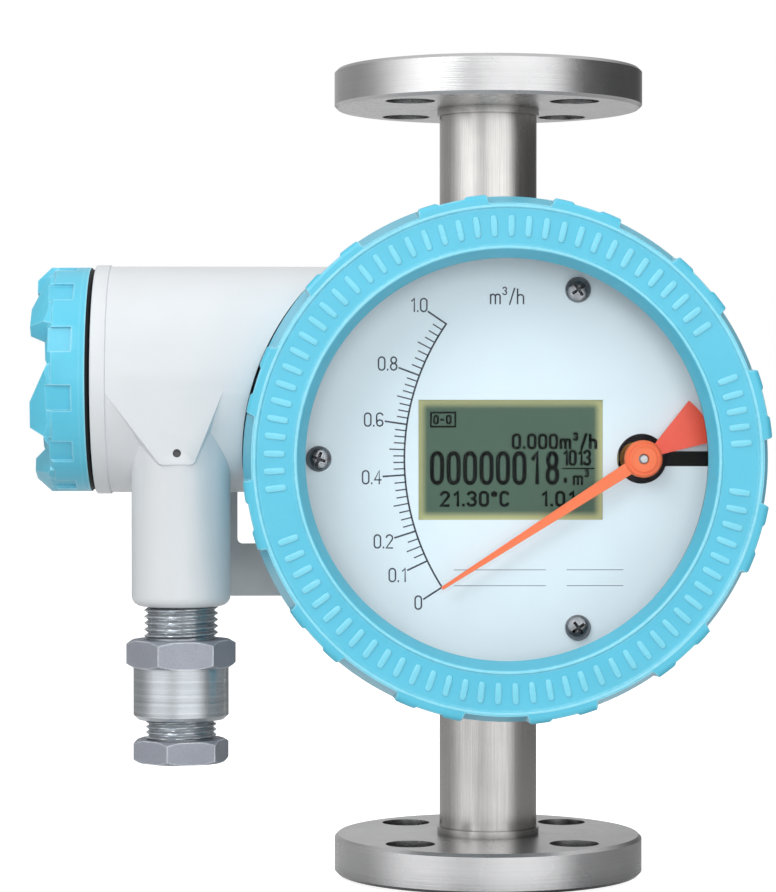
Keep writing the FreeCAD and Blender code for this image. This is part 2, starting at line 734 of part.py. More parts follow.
def mounting_bracket():
    """The plate that carries the housing: a middle field, a low band and a leg to the arm."""
    outline = [
        (BRACKET_LEFT, BRACKET_BAND_BOTTOM),
        (BRACKET_RIGHT, BRACKET_BAND_BOTTOM),
        (BRACKET_RIGHT, BRACKET_TOP),
        (NOTCH_RIGHT, BRACKET_TOP),
        (NOTCH_RIGHT, BRACKET_BAND_TOP),
        (LEG_RIGHT, BRACKET_BAND_TOP),
        (LEG_RIGHT, BRACKET_TOP),
        (BRACKET_LEFT, BRACKET_TOP),
    ]
    plate = front_plate(outline, HOUSING_BACK_Y, BRACKET_BACK_Y)
    notch_floor = DIAL_Z + BRACKET_BAND_TOP
    plate = round_corners(plate, BRACKET_CORNER, Y_AXIS,
                          lambda p: abs(p.z - notch_floor) < 0.1)
    plate = round_corners(plate, BRACKET_OUTER_CORNER, Y_AXIS,
                          lambda p: abs(abs(p.z - DIAL_Z) - BRACKET_TOP) < 0.1)
    holes = [rod_y(M5_HOLE_D / 2, HOUSING_BACK_Y, BRACKET_BACK_Y, x, z)
             for x, z in housing_screw_places()]
    for rise in (-SADDLE_OFFSET, SADDLE_OFFSET):
        for x in (-SADDLE_SCREW_X, SADDLE_SCREW_X):
            holes.append(rod_y(M5_D / 2 + SCREW_FIT, HOUSING_BACK_Y, BRACKET_BACK_Y, x, rise))
            holes.append(turned_y([(0, HOUSING_BACK_Y), (CSK_HEAD_D / 2, HOUSING_BACK_Y),
                                   (M5_D / 2, HOUSING_BACK_Y + CSK_HEAD_H),
                                   (0, HOUSING_BACK_Y + CSK_HEAD_H)], x, DIAL_Z + rise))
    return plate.cut(holes)


def housing_screw_places():
    """Four screws into the chamber's back and one into the arm's pad."""
    places = [(x, z) for x in (-BRACKET_SCREW_X, BRACKET_SCREW_X)
              for z in (-BRACKET_SCREW_Z, BRACKET_SCREW_Z)]
    return places + [(PAD_X, ARM_RISE)]


def housing_screws():
    """Socket-head screws that hold the housing to the bracket, heads at the back."""
    head_y = BRACKET_BACK_Y
    screws = []
    for x, z in housing_screw_places():
        head = turned_y([(0, head_y), (M5_HEAD_D / 2, head_y),
                         (M5_HEAD_D / 2, head_y + M5_HEAD_H - M5_HEAD_EDGE),
                         (M5_HEAD_D / 2 - M5_HEAD_EDGE, head_y + M5_HEAD_H), (0, head_y + M5_HEAD_H)],
                        x, DIAL_Z + z)
        base = V(x, head_y + M5_HEAD_H / 2, DIAL_Z + z)
        socket = hexagon(M5_SOCKET_AF, base, M5_HEAD_H, Y_AXIS)
        shank = rod_y(M5_D / 2, head_y - M5_REACH, head_y, x, z)
        screws.append(head.fuse(shank).cut(socket))
    return Part.makeCompound(screws)


def saddle_screws():
    """Countersunk screws, flush under the housing's back."""
    screws = []
    tip = -TUBE_R + CSK_TIP_GAP
    for rise in (-SADDLE_OFFSET, SADDLE_OFFSET):
        for x in (-SADDLE_SCREW_X, SADDLE_SCREW_X):
            screws.append(turned_y([
                (0, HOUSING_BACK_Y), (CSK_HEAD_D / 2, HOUSING_BACK_Y),
                (M5_D / 2, HOUSING_BACK_Y + CSK_HEAD_H), (M5_D / 2, tip), (0, tip)],
                x, DIAL_Z + rise))
    return Part.makeCompound(screws)


# Indicator housing

def web():
    """The flat tapered web that fills the corner between the arm's front and the boss."""
    def section(y, grow):
        low = DIAL_Z + WEB_BOTTOM_RISE - grow
        points = [V(ARM_END_X + WEB_TOP_FROM, y, ARM_Z),
                  V(ARM_END_X + WEB_TOP_TO + grow, y, ARM_Z),
                  V(ARM_END_X + WEB_BOTTOM_TO + grow, y, low),
                  V(ARM_END_X + WEB_BOTTOM_FROM - grow, y, low)]
        return Part.makePolygon(points + points[:1])
    block = Part.makeLoft([section(WEB_FACE_Y, 0), section(BOSS_Y, WEB_DRAFT)], True, True)
    low = [e for e in block.Edges if abs(e.Vertexes[0].Y - e.Vertexes[1].Y) > PAST
           and e.CenterOfMass.z < DIAL_Z]
    return block.makeFillet(WEB_CORNER, low)


def housing_outside():
    round_r = CHAMBER_REAR_ROUND
    lean = round_r * ROUND_MIDDLE
    boss_lean = BOSS_ROUND * ROUND_MIDDLE
    chamber = turned_y([
        (0, HOUSING_BACK_Y),
        (CHAMBER_OUTER_R - round_r, HOUSING_BACK_Y),
        (CHAMBER_OUTER_R - lean, HOUSING_BACK_Y - lean, CHAMBER_OUTER_R, HOUSING_BACK_Y - round_r),
        (CHAMBER_OUTER_R, COVER_BACK_Y),
        (0, COVER_BACK_Y),
    ])
    collar_back = ARM_END_X + COLLAR_LENGTH
    arm = turned_x([
        (0, ARM_END_X),
        (ARM_R + COLLAR_PROUD - COLLAR_EDGE, ARM_END_X),
        (ARM_R + COLLAR_PROUD, ARM_END_X + COLLAR_EDGE),
        (ARM_R + COLLAR_PROUD, collar_back - COLLAR_EDGE),
        (ARM_R, collar_back),
        (ARM_R, -CHAMBER_INNER_R / 2),
        (0, -CHAMBER_INNER_R / 2),
    ])
    boss = turned_z([
        (0, BOSS_BOTTOM_Z),
        (BOSS_R - BOSS_ROUND, BOSS_BOTTOM_Z),
        (BOSS_R - boss_lean, BOSS_BOTTOM_Z + boss_lean, BOSS_R, BOSS_BOTTOM_Z + BOSS_ROUND),
        (BOSS_R, ARM_Z),
        (0, ARM_Z),
    ], BOSS_X, BOSS_Y)
    pad = rod_y(PAD_R, ARM_Y + ARM_R - PAD_SUNK, HOUSING_BACK_Y, PAD_X, ARM_RISE)
    whole = chamber.fuse([arm, boss, pad, web()])
    room = rod_y(COVER_R + COVER_ROOM, COVER_BACK_Y, COVER_FRONT_Y)
    seal_back = COVER_BACK_Y - O_RING_BACK_GAP
    seal_front = seal_back - 2 * (O_RING_R + O_RING_FIT)
    groove_r = O_RING_AT - O_RING_R - O_RING_FIT
    neck = turned_y([
        (0, COVER_BACK_Y),
        (NECK_OUTER_R, COVER_BACK_Y),
        (NECK_OUTER_R, seal_back),
        (groove_r, seal_back),
        (groove_r, seal_front),
        (NECK_OUTER_R, seal_front),
        (NECK_OUTER_R, NECK_MOUTH_Y + NECK_EDGE),
        (NECK_OUTER_R - NECK_EDGE, NECK_MOUTH_Y),
        (0, NECK_MOUTH_Y),
    ])
    return whole.cut(room).fuse(neck)


def indicator_housing():
    """One casting: the round chamber, the arm with the terminal chamber, boss, web and pad."""
    inside = turned_y([
        (0, INNER_WALL_Y),
        (CHAMBER_INNER_R, INNER_WALL_Y),
        (CHAMBER_INNER_R, NECK_STEP_Y),
        (NECK_INNER_R, NECK_STEP_Y),
        (NECK_INNER_R, NECK_MOUTH_Y),
        (0, NECK_MOUTH_Y),
    ])
    bosses = [rod_y(INNER_BOSS_D / 2, INNER_WALL_Y - INNER_BOSS_H, INNER_WALL_Y, x, z)
              for x, z in housing_screw_places()[:4]]
    thread_end = ARM_END_X + TERMINAL_THREAD_L
    cuts = [
        rod_x(TERMINAL_THREAD_R, ARM_END_X, thread_end),
        rod_x(TERMINAL_BORE_R, thread_end, TERMINAL_INNER_X),
        rod_x(WIRE_HOLE_R, TERMINAL_INNER_X, -CHAMBER_INNER_R / 2),
        rod_z(GLAND_THREAD_D / 2 + GLAND_THREAD_FIT, BOSS_BOTTOM_Z, GLAND_BORE_TOP, BOSS_X, BOSS_Y),
        rod_y(PLUG_HOLE_D / 2, WEB_FACE_Y - PAST, WEB_FACE_Y + PLUG_HOLE_DEPTH,
              ARM_END_X + PLUG_HOLE_SET_IN, PLUG_HOLE_RISE),
    ]
    for x, z in housing_screw_places():
        cuts.append(rod_y(M5_D / 2 + SCREW_FIT, BRACKET_BACK_Y - M5_REACH - M5_HOLE_ROOM,
                          HOUSING_BACK_Y, x, z))
    shell = housing_outside().cut(inside).fuse(bosses)
    return shell.cut(cuts).removeSplitter()


# Front cover

def sector(profile, centre_deg, width_deg):
    """A ring segment about the dial axis, its angle counted anticlockwise from +X."""
    ring = turned(profile, V(0, 0, DIAL_Z), Y_AXIS, X_AXIS, width_deg)
    ring.rotate(V(0, 0, DIAL_Z), Y_AXIS, -centre_deg - width_deg / 2)
    return ring


def front_cover():
    """The screwed ring that holds the window. Its rim has wide recesses that run out towards
    the back, and narrow ones along its whole length."""
    thread_r = NECK_OUTER_R + THREAD_CLEARANCE
    collar_r = NECK_INNER_R - THREAD_CLEARANCE
    groove_y = NECK_MOUTH_Y - LIP_LAND
    lean = COVER_EDGE * ROUND_MIDDLE
    seal_r = O_RING_AT + O_RING_R + THREAD_CLEARANCE
    seal_y = COVER_BACK_Y - SEAL_POCKET_L
    body = turned_y([
        (WINDOW_R, LIP_REAR_Y - LIP_LAND),
        (COVER_INNER_R, COVER_FRONT_Y),
        (COVER_R - COVER_EDGE, COVER_FRONT_Y),
        (COVER_R - lean, COVER_FRONT_Y + lean, COVER_R, COVER_FRONT_Y + COVER_EDGE),
        (COVER_R, COVER_BACK_Y - COVER_BACK_EDGE),
        (COVER_R - COVER_BACK_EDGE, COVER_BACK_Y),
        (seal_r, COVER_BACK_Y),
        (seal_r, seal_y),
        (thread_r, seal_y),
        (thread_r, groove_y),
        (collar_r, groove_y),
        (collar_r, COLLAR_BACK_Y),
        (GLASS_POCKET_R, COLLAR_BACK_Y),
        (GLASS_POCKET_R, LIP_REAR_Y),
        (WINDOW_R, LIP_REAR_Y),
    ])
    far = COVER_R + PAST
    wide_floor = COVER_R - WIDE_RECESS_DEPTH
    wide_end = COVER_FRONT_Y + WIDE_RECESS_L
    wide = [(wide_floor, COVER_FRONT_Y - PAST), (far, COVER_FRONT_Y - PAST), (far, wide_end),
            (COVER_R, wide_end), (wide_floor, COVER_FRONT_Y)]
    narrow_floor = COVER_R - NARROW_RECESS_DEPTH
    narrow = [(narrow_floor, COVER_FRONT_Y - PAST), (far, COVER_FRONT_Y - PAST),
              (far, COVER_BACK_Y + PAST), (narrow_floor, COVER_BACK_Y + PAST)]
    cuts = []
    for i in range(RIM_COUNT):
        turn = i * RIM_TURN
        cuts.append(sector(wide, WIDE_RECESS_AT + turn, WIDE_RECESS_DEG))
        cuts.append(sector(narrow, NARROW_RECESS_AT + turn, NARROW_RECESS_DEG))
    return body.cut(cuts)


def cover_glass():
    r = GLASS_POCKET_R - THREAD_CLEARANCE
    edge = GLASS_EDGE
    return turned_y([(0, GLASS_FRONT_Y), (r - edge, GLASS_FRONT_Y), (r, GLASS_FRONT_Y + edge),
                     (r, GLASS_BACK_Y - edge), (r - edge, GLASS_BACK_Y), (0, GLASS_BACK_Y)])


def glass_gasket():
    r = GLASS_POCKET_R - THREAD_CLEARANCE
    inner = WINDOW_R + GASKET_SET_BACK
    return turned_y([(inner, LIP_REAR_Y), (r, LIP_REAR_Y), (r, GLASS_FRONT_Y), (inner, GLASS_FRONT_Y)])


def glass_retainer():
    """The slotted ring that is screwed in behind the window."""
    r = GLASS_POCKET_R - SCREW_FIT
    back = GLASS_BACK_Y + RETAINER_THICK
    ring = turned_y([(RETAINER_INNER_R, GLASS_BACK_Y), (r, GLASS_BACK_Y), (r, back),
                     (RETAINER_INNER_R, back)])
    half = RETAINER_SLOT_W / 2
    slot = box(RETAINER_INNER_R - PAST, GLASS_POCKET_R - RETAINER_SLOT_WALL,
               back - RETAINER_SLOT_DEPTH, back + PAST, DIAL_Z - half, DIAL_Z + half)
    return ring.cut(ring_of(slot, RETAINER_SLOTS, V(0, 0, DIAL_Z), Y_AXIS, 45.0))


def front_cover_o_ring():
    y = COVER_BACK_Y - O_RING_BACK_GAP - O_RING_R - O_RING_FIT
    return Part.makeTorus(O_RING_AT, O_RING_R, V(0, y, DIAL_Z), Y_AXIS)


# End cap

def cap_lug():
    """One grip lug on the cap's face: steep on one flank and gentle on the other."""
    def section(x, steep, gentle, inner, outer):
        points = [V(x, ARM_Y + steep, ARM_Z + inner), V(x, ARM_Y + gentle, ARM_Z + inner),
                  V(x, ARM_Y + gentle, ARM_Z + outer), V(x, ARM_Y + steep, ARM_Z + outer)]
        return Part.makePolygon(points + points[:1])
    base_out = CAP_R - LUG_BASE_EDGE
    root = section(CAP_FACE_X + LUG_ROOT, LUG_BASE_STEEP, LUG_BASE_GENTLE, LUG_BASE_IN, base_out)
    face = section(CAP_FACE_X, LUG_BASE_STEEP, LUG_BASE_GENTLE, LUG_BASE_IN, base_out)
    top = section(CAP_FACE_X - LUG_HEIGHT, LUG_TOP_STEEP, LUG_TOP_GENTLE,
                  LUG_TOP_IN, CAP_R - LUG_TOP_EDGE)
    foot = Part.makeLoft([root, face], True, True)
    return foot.fuse(Part.makeLoft([face, top], True, True))


def end_cap():
    """The screwed cap of the terminal chamber, with rim pockets and six grip lugs."""
    neck_x = CAP_SHOULDER_X + CAP_NECK_L
    hollow_r = CAP_NECK_R - CAP_NECK_WALL
    seal_in = CAP_SEAL_AT - CAP_SEAL_R - CAP_SEAL_ROOM
    seal_out = CAP_SEAL_AT + CAP_SEAL_R + CAP_SEAL_ROOM
    seal_x = ARM_END_X - 2 * CAP_SEAL_R - CAP_SEAL_ROOM
    body = turned_x([
        (0, CAP_FACE_X),
        (CAP_R - CAP_EDGE, CAP_FACE_X),
        (CAP_R, CAP_FACE_X + CAP_EDGE),
        (CAP_R, CAP_SHOULDER_X),
        (seal_out, CAP_SHOULDER_X),
        (seal_out, seal_x),
        (seal_in, seal_x),
        (seal_in, CAP_SHOULDER_X),
        (CAP_NECK_R, CAP_SHOULDER_X),
        (CAP_NECK_R, neck_x),
        (hollow_r, neck_x),
        (hollow_r, CAP_FACE_X + CAP_FACE_WALL),
        (0, CAP_FACE_X + CAP_FACE_WALL),
    ])
    centre = V(0, ARM_Y, ARM_Z)
    # Angles on the cap count from the front towards the top; a lug is drawn at the top.
    lugs = ring_of(cap_lug(), LUG_COUNT, centre, X_AXIS, 90.0 - LUG_FIRST_DEG)
    trim = rod_x(CAP_R, CAP_FACE_X - LUG_HEIGHT, CAP_SHOULDER_X)
    body = body.fuse([lug.common(trim) for lug in lugs])
    floor_r = CAP_R - CAP_POCKET_DEPTH
    pocket_x = CAP_SHOULDER_X - CAP_POCKET_START
    pocket = turned([(floor_r, CAP_FACE_X - LUG_HEIGHT), (CAP_R + PAST, CAP_FACE_X - LUG_HEIGHT),
                     (CAP_R + PAST, pocket_x), (floor_r, pocket_x)],
                    centre, X_AXIS, V(0, -1, 0), CAP_POCKET_DEG)
    first = -CAP_POCKET_AT - CAP_POCKET_DEG / 2
    return body.cut(ring_of(pocket, CAP_POCKET_COUNT, centre, X_AXIS, first)).removeSplitter()


def end_cap_o_ring():
    x = ARM_END_X - CAP_SEAL_R
    return Part.makeTorus(CAP_SEAL_AT, CAP_SEAL_R, V(x, ARM_Y, ARM_Z), X_AXIS)


# Cable gland

def chamfered_hexagon(across_flats, z_low, z_high, turn):
    """A hexagon whose corners are turned off at both ends."""
    bar = hexagon(across_flats, V(BOSS_X, BOSS_Y, z_low), z_high - z_low, Z_AXIS, turn)
    tip = across_flats / math.sqrt(3)
    flat = across_flats / 2
    drop = (tip - flat) * math.tan(math.radians(HEX_CHAMFER_DEG)) + HEX_CHAMFER_LAND
    envelope = turned_z([(0, z_low), (flat, z_low), (tip, z_low + drop), (tip, z_high - drop),
                         (flat, z_high), (0, z_high)], BOSS_X, BOSS_Y)
    return bar.common(envelope)


def gland_body():
    """Threaded stem, hexagon and barrel of the gland, bored for the cable and the nut."""
    stem_top = BOSS_BOTTOM_Z + GLAND_THREAD_INSIDE
    stem_r = GLAND_THREAD_D / 2
    stem_low = GLAND_HEX_TOP - STEM_OVERLAP
    stem = turned_z([
        (0, stem_low), (stem_r, stem_low), (stem_r, stem_top - GLAND_THREAD_EDGE),
        (stem_r - GLAND_THREAD_EDGE, stem_top), (0, stem_top),
    ], BOSS_X, BOSS_Y)
    r = GLAND_BODY_D / 2
    barrel = turned_z([
        (0, GLAND_BODY_BOTTOM), (r - GLAND_CHAMFER, GLAND_BODY_BOTTOM),
        (r, GLAND_BODY_BOTTOM + GLAND_CHAMFER), (r, GLAND_HEX_BOTTOM + STEM_OVERLAP),
        (0, GLAND_HEX_BOTTOM + STEM_OVERLAP),
    ], BOSS_X, BOSS_Y)
    collar = chamfered_hexagon(GLAND_HEX_AF, GLAND_HEX_BOTTOM, GLAND_HEX_TOP, GLAND_HEX_TURN)
    seal_top = NUT_TOP + GLAND_WASHER_H + GLAND_SEAL_H
    bore = rod_z(GLAND_BORE_D / 2, GLAND_BODY_BOTTOM, stem_top, BOSS_X, BOSS_Y)
    mouth = rod_z(NUT_THREAD_D / 2 + THREAD_CLEARANCE, GLAND_BODY_BOTTOM, seal_top, BOSS_X, BOSS_Y)
    return collar.fuse([stem, barrel]).cut([bore, mouth]).removeSplitter()


def gland_seal():
    """The rubber ring that the nut squeezes onto the cable."""
    z0 = NUT_TOP + GLAND_WASHER_H
    r = NUT_THREAD_D / 2
    top = z0 + GLAND_SEAL_H
    return turned_z([(CABLE_BORE_D / 2, z0), (r, z0), (r, top - GLAND_SEAL_EDGE),
                     (r - GLAND_SEAL_EDGE, top), (CABLE_BORE_D / 2, top)], BOSS_X, BOSS_Y)


def gland_washer():
    r = NUT_THREAD_D / 2
    return turned_z([(CABLE_BORE_D / 2, NUT_TOP), (r, NUT_TOP), (r, NUT_TOP + GLAND_WASHER_H),
                     (CABLE_BORE_D / 2, NUT_TOP + GLAND_WASHER_H)], BOSS_X, BOSS_Y)


def gland_nut():
    """The compression nut, partly unscrewed, with its cable bore."""
    r = NUT_THREAD_D / 2
    low = NUT_HEX_TOP - STEM_OVERLAP
    thread = turned_z([(0, low), (r, low), (r, NUT_TOP - NUT_THREAD_EDGE),
                       (r - NUT_THREAD_EDGE, NUT_TOP), (0, NUT_TOP)], BOSS_X, BOSS_Y)
    head = chamfered_hexagon(NUT_AF, NUT_BOTTOM, NUT_HEX_TOP, NUT_TURN)
    bore = rod_z(CABLE_BORE_D / 2, NUT_BOTTOM, NUT_TOP, BOSS_X, BOSS_Y)
    return head.fuse(thread).cut(bore).removeSplitter()


# Dial and display

def dial_screw_places():
    r = DIAL_R * DIAL_SCREW_SHARE
    return [(r * math.cos(math.radians(a)), r * math.sin(math.radians(a))) for a in DIAL_SCREW_DEG]


def dial_plate():
    """The round scale plate with its keyhole, display window and screw holes."""
    plate = rod_y(DIAL_R, DIAL_FRONT_Y, DIAL_BACK_Y)
    half = KEYHOLE_SLOT_H / 2
    cuts = [
        rod_y(KEYHOLE_R, DIAL_FRONT_Y, DIAL_BACK_Y, PIVOT_X),
        box(PIVOT_X, DIAL_R, DIAL_FRONT_Y, DIAL_BACK_Y, DIAL_Z - half, DIAL_Z + half),
        box(LCD_LEFT, LCD_RIGHT, DIAL_FRONT_Y, DIAL_BACK_Y, DIAL_Z + LCD_BOTTOM, DIAL_Z + LCD_TOP),
    ]
    for x, rise in dial_screw_places():
        cuts.append(rod_y(DIAL_SCREW_D / 2 + SCREW_FIT, DIAL_FRONT_Y, DIAL_BACK_Y, x, rise))
    return plate.cut(cuts)


def dial_screws():
    """Three pan-head screws with cross recesses."""
    top = DIAL_FRONT_Y - DIAL_SCREW_HEAD_H
    r = DIAL_SCREW_HEAD_D / 2
    screws = []
    rim_y = DIAL_FRONT_Y - DIAL_SCREW_RIM_H
    dome = DIAL_SCREW_HEAD_H - DIAL_SCREW_RIM_H
    for (x, rise), turn in zip(dial_screw_places(), CROSS_TURNS_DEG):
        z = DIAL_Z + rise
        head = turned_y([(0, DIAL_FRONT_Y), (r, DIAL_FRONT_Y), (r, rim_y),
                         (r * 0.7, rim_y - dome * 0.7, 0, top)], x, z)
        shank = rod_y(DIAL_SCREW_D / 2, DIAL_FRONT_Y, DIAL_FRONT_Y + DIAL_SCREW_L, x, rise)
        bar = box(x, x + CROSS_HALF_L, top - PAST, top + CROSS_DEPTH,
                  z - CROSS_HALF_W, z + CROSS_HALF_W)
        cross = ring_of(bar, 4, V(x, top, z), Y_AXIS, turn)
        screws.append(head.fuse(shank).cut(cross))
    return Part.makeCompound(screws)


def dial_pillars():
    """Hexagonal pillars from the chamber's back wall to the dial."""
    pillars = []
    for x, rise in dial_screw_places():
        base = V(x, INNER_WALL_Y, DIAL_Z + rise)
        bar = hexagon(DIAL_PILLAR_AF, base, INNER_WALL_Y - DIAL_BACK_Y, V(0, -1, 0))
        depth = DIAL_FRONT_Y + DIAL_SCREW_L + PILLAR_HOLE_ROOM
        pillars.append(bar.cut(rod_y(DIAL_SCREW_D / 2 + SCREW_FIT, DIAL_BACK_Y, depth, x, rise)))
    return Part.makeCompound(pillars)


def display_frame():
    """The frame behind the dial window that holds the display."""
    front = DIAL_BACK_Y
    back = front + LCD_FRAME_T
    low = DIAL_Z + LCD_BOTTOM
    high = DIAL_Z + LCD_TOP
    w = LCD_FRAME_W
    g = LCD_OVERLAP
    body = box(LCD_LEFT - w, LCD_RIGHT + w, front, back, low - w, high + w)
    return body.cut(box(LCD_LEFT - g, LCD_RIGHT + g, front, back, low - g, high + g))


def display_glass():
    front = DIAL_BACK_Y + LCD_GLASS_SET_BACK
    g = LCD_OVERLAP
    return box(LCD_LEFT - g, LCD_RIGHT + g, front, front + LCD_GLASS_T,
               DIAL_Z + LCD_BOTTOM - g, DIAL_Z + LCD_TOP + g)


def display_board():
    """The display's circuit board, stepped forward to the back of the glass."""
    front = DIAL_BACK_Y + LCD_FRAME_T
    glass_back = DIAL_BACK_Y + LCD_GLASS_SET_BACK + LCD_GLASS_T
    w = LCD_FRAME_W
    board = box(LCD_LEFT - w, LCD_RIGHT + w, front, front + LCD_BOARD_T,
                DIAL_Z + LCD_BOTTOM - w, DIAL_Z + LCD_TOP + w)
    light = box(LCD_LEFT, LCD_RIGHT, glass_back, front, DIAL_Z + LCD_BOTTOM, DIAL_Z + LCD_TOP)
    return board.fuse(light).removeSplitter()


def board_pillar_places():
    left = BOARD_LEFT + BOARD_PILLAR_INSET
    return [(x, z) for x in (left, left + BOARD_PILLAR_SPAN) for z in (-BOARD_PILLAR_Z, BOARD_PILLAR_Z)]


def main_board():
    """The main circuit board on its pillars, with its larger components."""
    front = BOARD_Y - BOARD_THICK
    board = box(BOARD_LEFT, BOARD_RIGHT, front, BOARD_Y, DIAL_Z - BOARD_HALF_H, DIAL_Z + BOARD_HALF_H)
    blocks = [box(x0, x1, front - high, front, DIAL_Z + z0, DIAL_Z + z1)
              for x0, x1, high, z0, z1 in BOARD_BLOCKS]
    drums = [rod_y(r, front - high, front, x, z) for x, z, r, high in BOARD_DRUMS]
    holes = [rod_y(BOARD_HOLE_R, front, BOARD_Y, x, z) for x, z in board_pillar_places()]
    return board.fuse(blocks + drums).cut(holes).removeSplitter()


def board_pillars():
    pillars = [rod_y(BOARD_PILLAR_R, BOARD_Y, INNER_WALL_Y, x, z) for x, z in board_pillar_places()]
    return Part.makeCompound(pillars)


# Movement and pointer

def frame_plate(y_back):
    outline = [(FRAME_LEFT, -FRAME_HALF_H), (FRAME_RIGHT, -FRAME_HALF_H),
               (FRAME_RIGHT, FRAME_HALF_H), (FRAME_LEFT, FRAME_HALF_H)]
    plate = front_plate(outline, y_back - FRAME_THICK, y_back)
    plate = round_corners(plate, FRAME_CORNER, Y_AXIS, lambda p: True)
    return plate.cut(rod_y(BEARING_R + BEARING_FIT, y_back - FRAME_THICK, y_back, PIVOT_X))


def movement_frame():
    """Back plate of the movement with its posts, standing on the chamber's back wall."""
    posts = []
    for offset in POST_FROM_PIVOT:
        for z in (-FRAME_POST_Z, FRAME_POST_Z):
            posts.append(rod_y(FRAME_POST_R, BRIDGE_BACK_Y, INNER_WALL_Y, PIVOT_X + offset, z))
    return frame_plate(FRAME_BACK_Y).fuse(posts).removeSplitter()


def movement_bridge():
    return frame_plate(BRIDGE_BACK_Y)


def bearing(y_back, forward):
    """A flanged bush in a movement plate; its flange lies on the side named by forward."""
    front = y_back - FRAME_THICK
    bush = rod_y(BEARING_R, front, y_back, PIVOT_X)
    if forward:
        rim = rod_y(BEARING_FLANGE_R, front - BEARING_FLANGE_T, front, PIVOT_X)
    else:
        rim = rod_y(BEARING_FLANGE_R, y_back, y_back + BEARING_FLANGE_T, PIVOT_X)
    hole = rod_y(SHAFT_R + SHAFT_FIT, front - PAST, y_back + PAST, PIVOT_X)
    return bush.fuse(rim).cut(hole)


def at_zero(shape):
    """Turn a piece that is drawn pointing left to where the pointer reads zero."""
    shape.rotate(V(PIVOT_X, 0, DIAL_Z), Y_AXIS, POINTER_LOW_DEG)
    return shape


def pointer_shaft():
    front = POINTER_BACK_Y - HUB_THICK - SHAFT_SHOWN
    r = SHAFT_R
    return turned_y([(0, SHAFT_BACK_Y), (r, SHAFT_BACK_Y), (r, front + SHAFT_POINT),
                     (r - SHAFT_POINT, front), (0, front)], PIVOT_X)


def pointer_needle():
    """The tapered needle with its round, grooved hub."""
    back = POINTER_BACK_Y
    hub = turned_y([
        (0, back), (HUB_R, back), (HUB_R, back - HUB_THICK + HUB_EDGE),
        (HUB_R - HUB_EDGE, back - HUB_THICK), (0, back - HUB_THICK)], PIVOT_X)
    groove = turned_y([
        (HUB_GROOVE_R, back - HUB_THICK), (HUB_GROOVE_R + HUB_GROOVE_W, back - HUB_THICK),
        (HUB_GROOVE_R + HUB_GROOVE_W, back - HUB_THICK + HUB_GROOVE_DEPTH),
        (HUB_GROOVE_R, back - HUB_THICK + HUB_GROOVE_DEPTH)], PIVOT_X)
    tip = PIVOT_X - NEEDLE_LENGTH
    needle = front_plate([
        (PIVOT_X, NEEDLE_ROOT_W / 2), (tip, NEEDLE_TIP_W / 2),
        (tip, -NEEDLE_TIP_W / 2), (PIVOT_X, -NEEDLE_ROOT_W / 2)],
        back - NEEDLE_FORWARD - NEEDLE_THICK, back - NEEDLE_FORWARD)
    hole = rod_y(SHAFT_R, back - HUB_THICK, back, PIVOT_X)
    return at_zero(hub.fuse(needle).cut([groove, hole]).removeSplitter())


def pointer_tail():
    """The fan-shaped tail that balances the needle, fixed behind its hub."""
    a = math.radians(TAIL_HALF_DEG)
    start = V(PIVOT_X, POINTER_BACK_Y, DIAL_Z)
    low = start + V(TAIL_R * math.cos(a), 0, -TAIL_R * math.sin(a))
    high = start + V(TAIL_R * math.cos(a), 0, TAIL_R * math.sin(a))
    far = start + V(TAIL_R, 0, 0)
    edges = [Part.LineSegment(start, low).toShape(), Part.Arc(low, far, high).toShape(),
             Part.LineSegment(high, start).toShape()]
    fan = Part.Face(Part.Wire(edges)).extrude(V(0, TAIL_THICK, 0))
    disc = rod_y(HUB_R, POINTER_BACK_Y, POINTER_BACK_Y + TAIL_THICK, PIVOT_X)
    hole = rod_y(SHAFT_R, POINTER_BACK_Y, POINTER_BACK_Y + TAIL_THICK, PIVOT_X)
    return at_zero(fan.fuse(disc).cut(hole).removeSplitter())


def follower_lever():
    """The lever on the shaft's back end that carries the follower magnet."""
    front = LEVER_Y - LEVER_THICK
    end = PIVOT_X - LEVER_RADIUS
    arm = front_plate([
        (PIVOT_X + WEIGHT_AT, LEVER_HALF_W), (end, LEVER_HALF_W),
        (end, -LEVER_HALF_W), (PIVOT_X + WEIGHT_AT, -LEVER_HALF_W)], front, LEVER_Y)
    seat = rod_y(FOLLOWER_MAGNET_R, front, LEVER_Y, end)
    hub = rod_y(LEVER_HUB_R, front - LEVER_HUB_PROUD, LEVER_Y + LEVER_HUB_BACK, PIVOT_X)
    hole = rod_y(SHAFT_R, front - LEVER_HUB_PROUD, LEVER_Y + LEVER_HUB_BACK, PIVOT_X)
    return at_zero(arm.fuse([seat, hub]).cut(hole).removeSplitter())


def follower_magnet():
    end = PIVOT_X - LEVER_RADIUS
    return at_zero(rod_y(FOLLOWER_MAGNET_R, LEVER_Y, LEVER_Y + FOLLOWER_MAGNET_H, end))


def lever_counterweight():
    x = PIVOT_X + WEIGHT_AT
    return at_zero(rod_y(WEIGHT_R, LEVER_Y, LEVER_Y + WEIGHT_THICK, x))


# Terminals

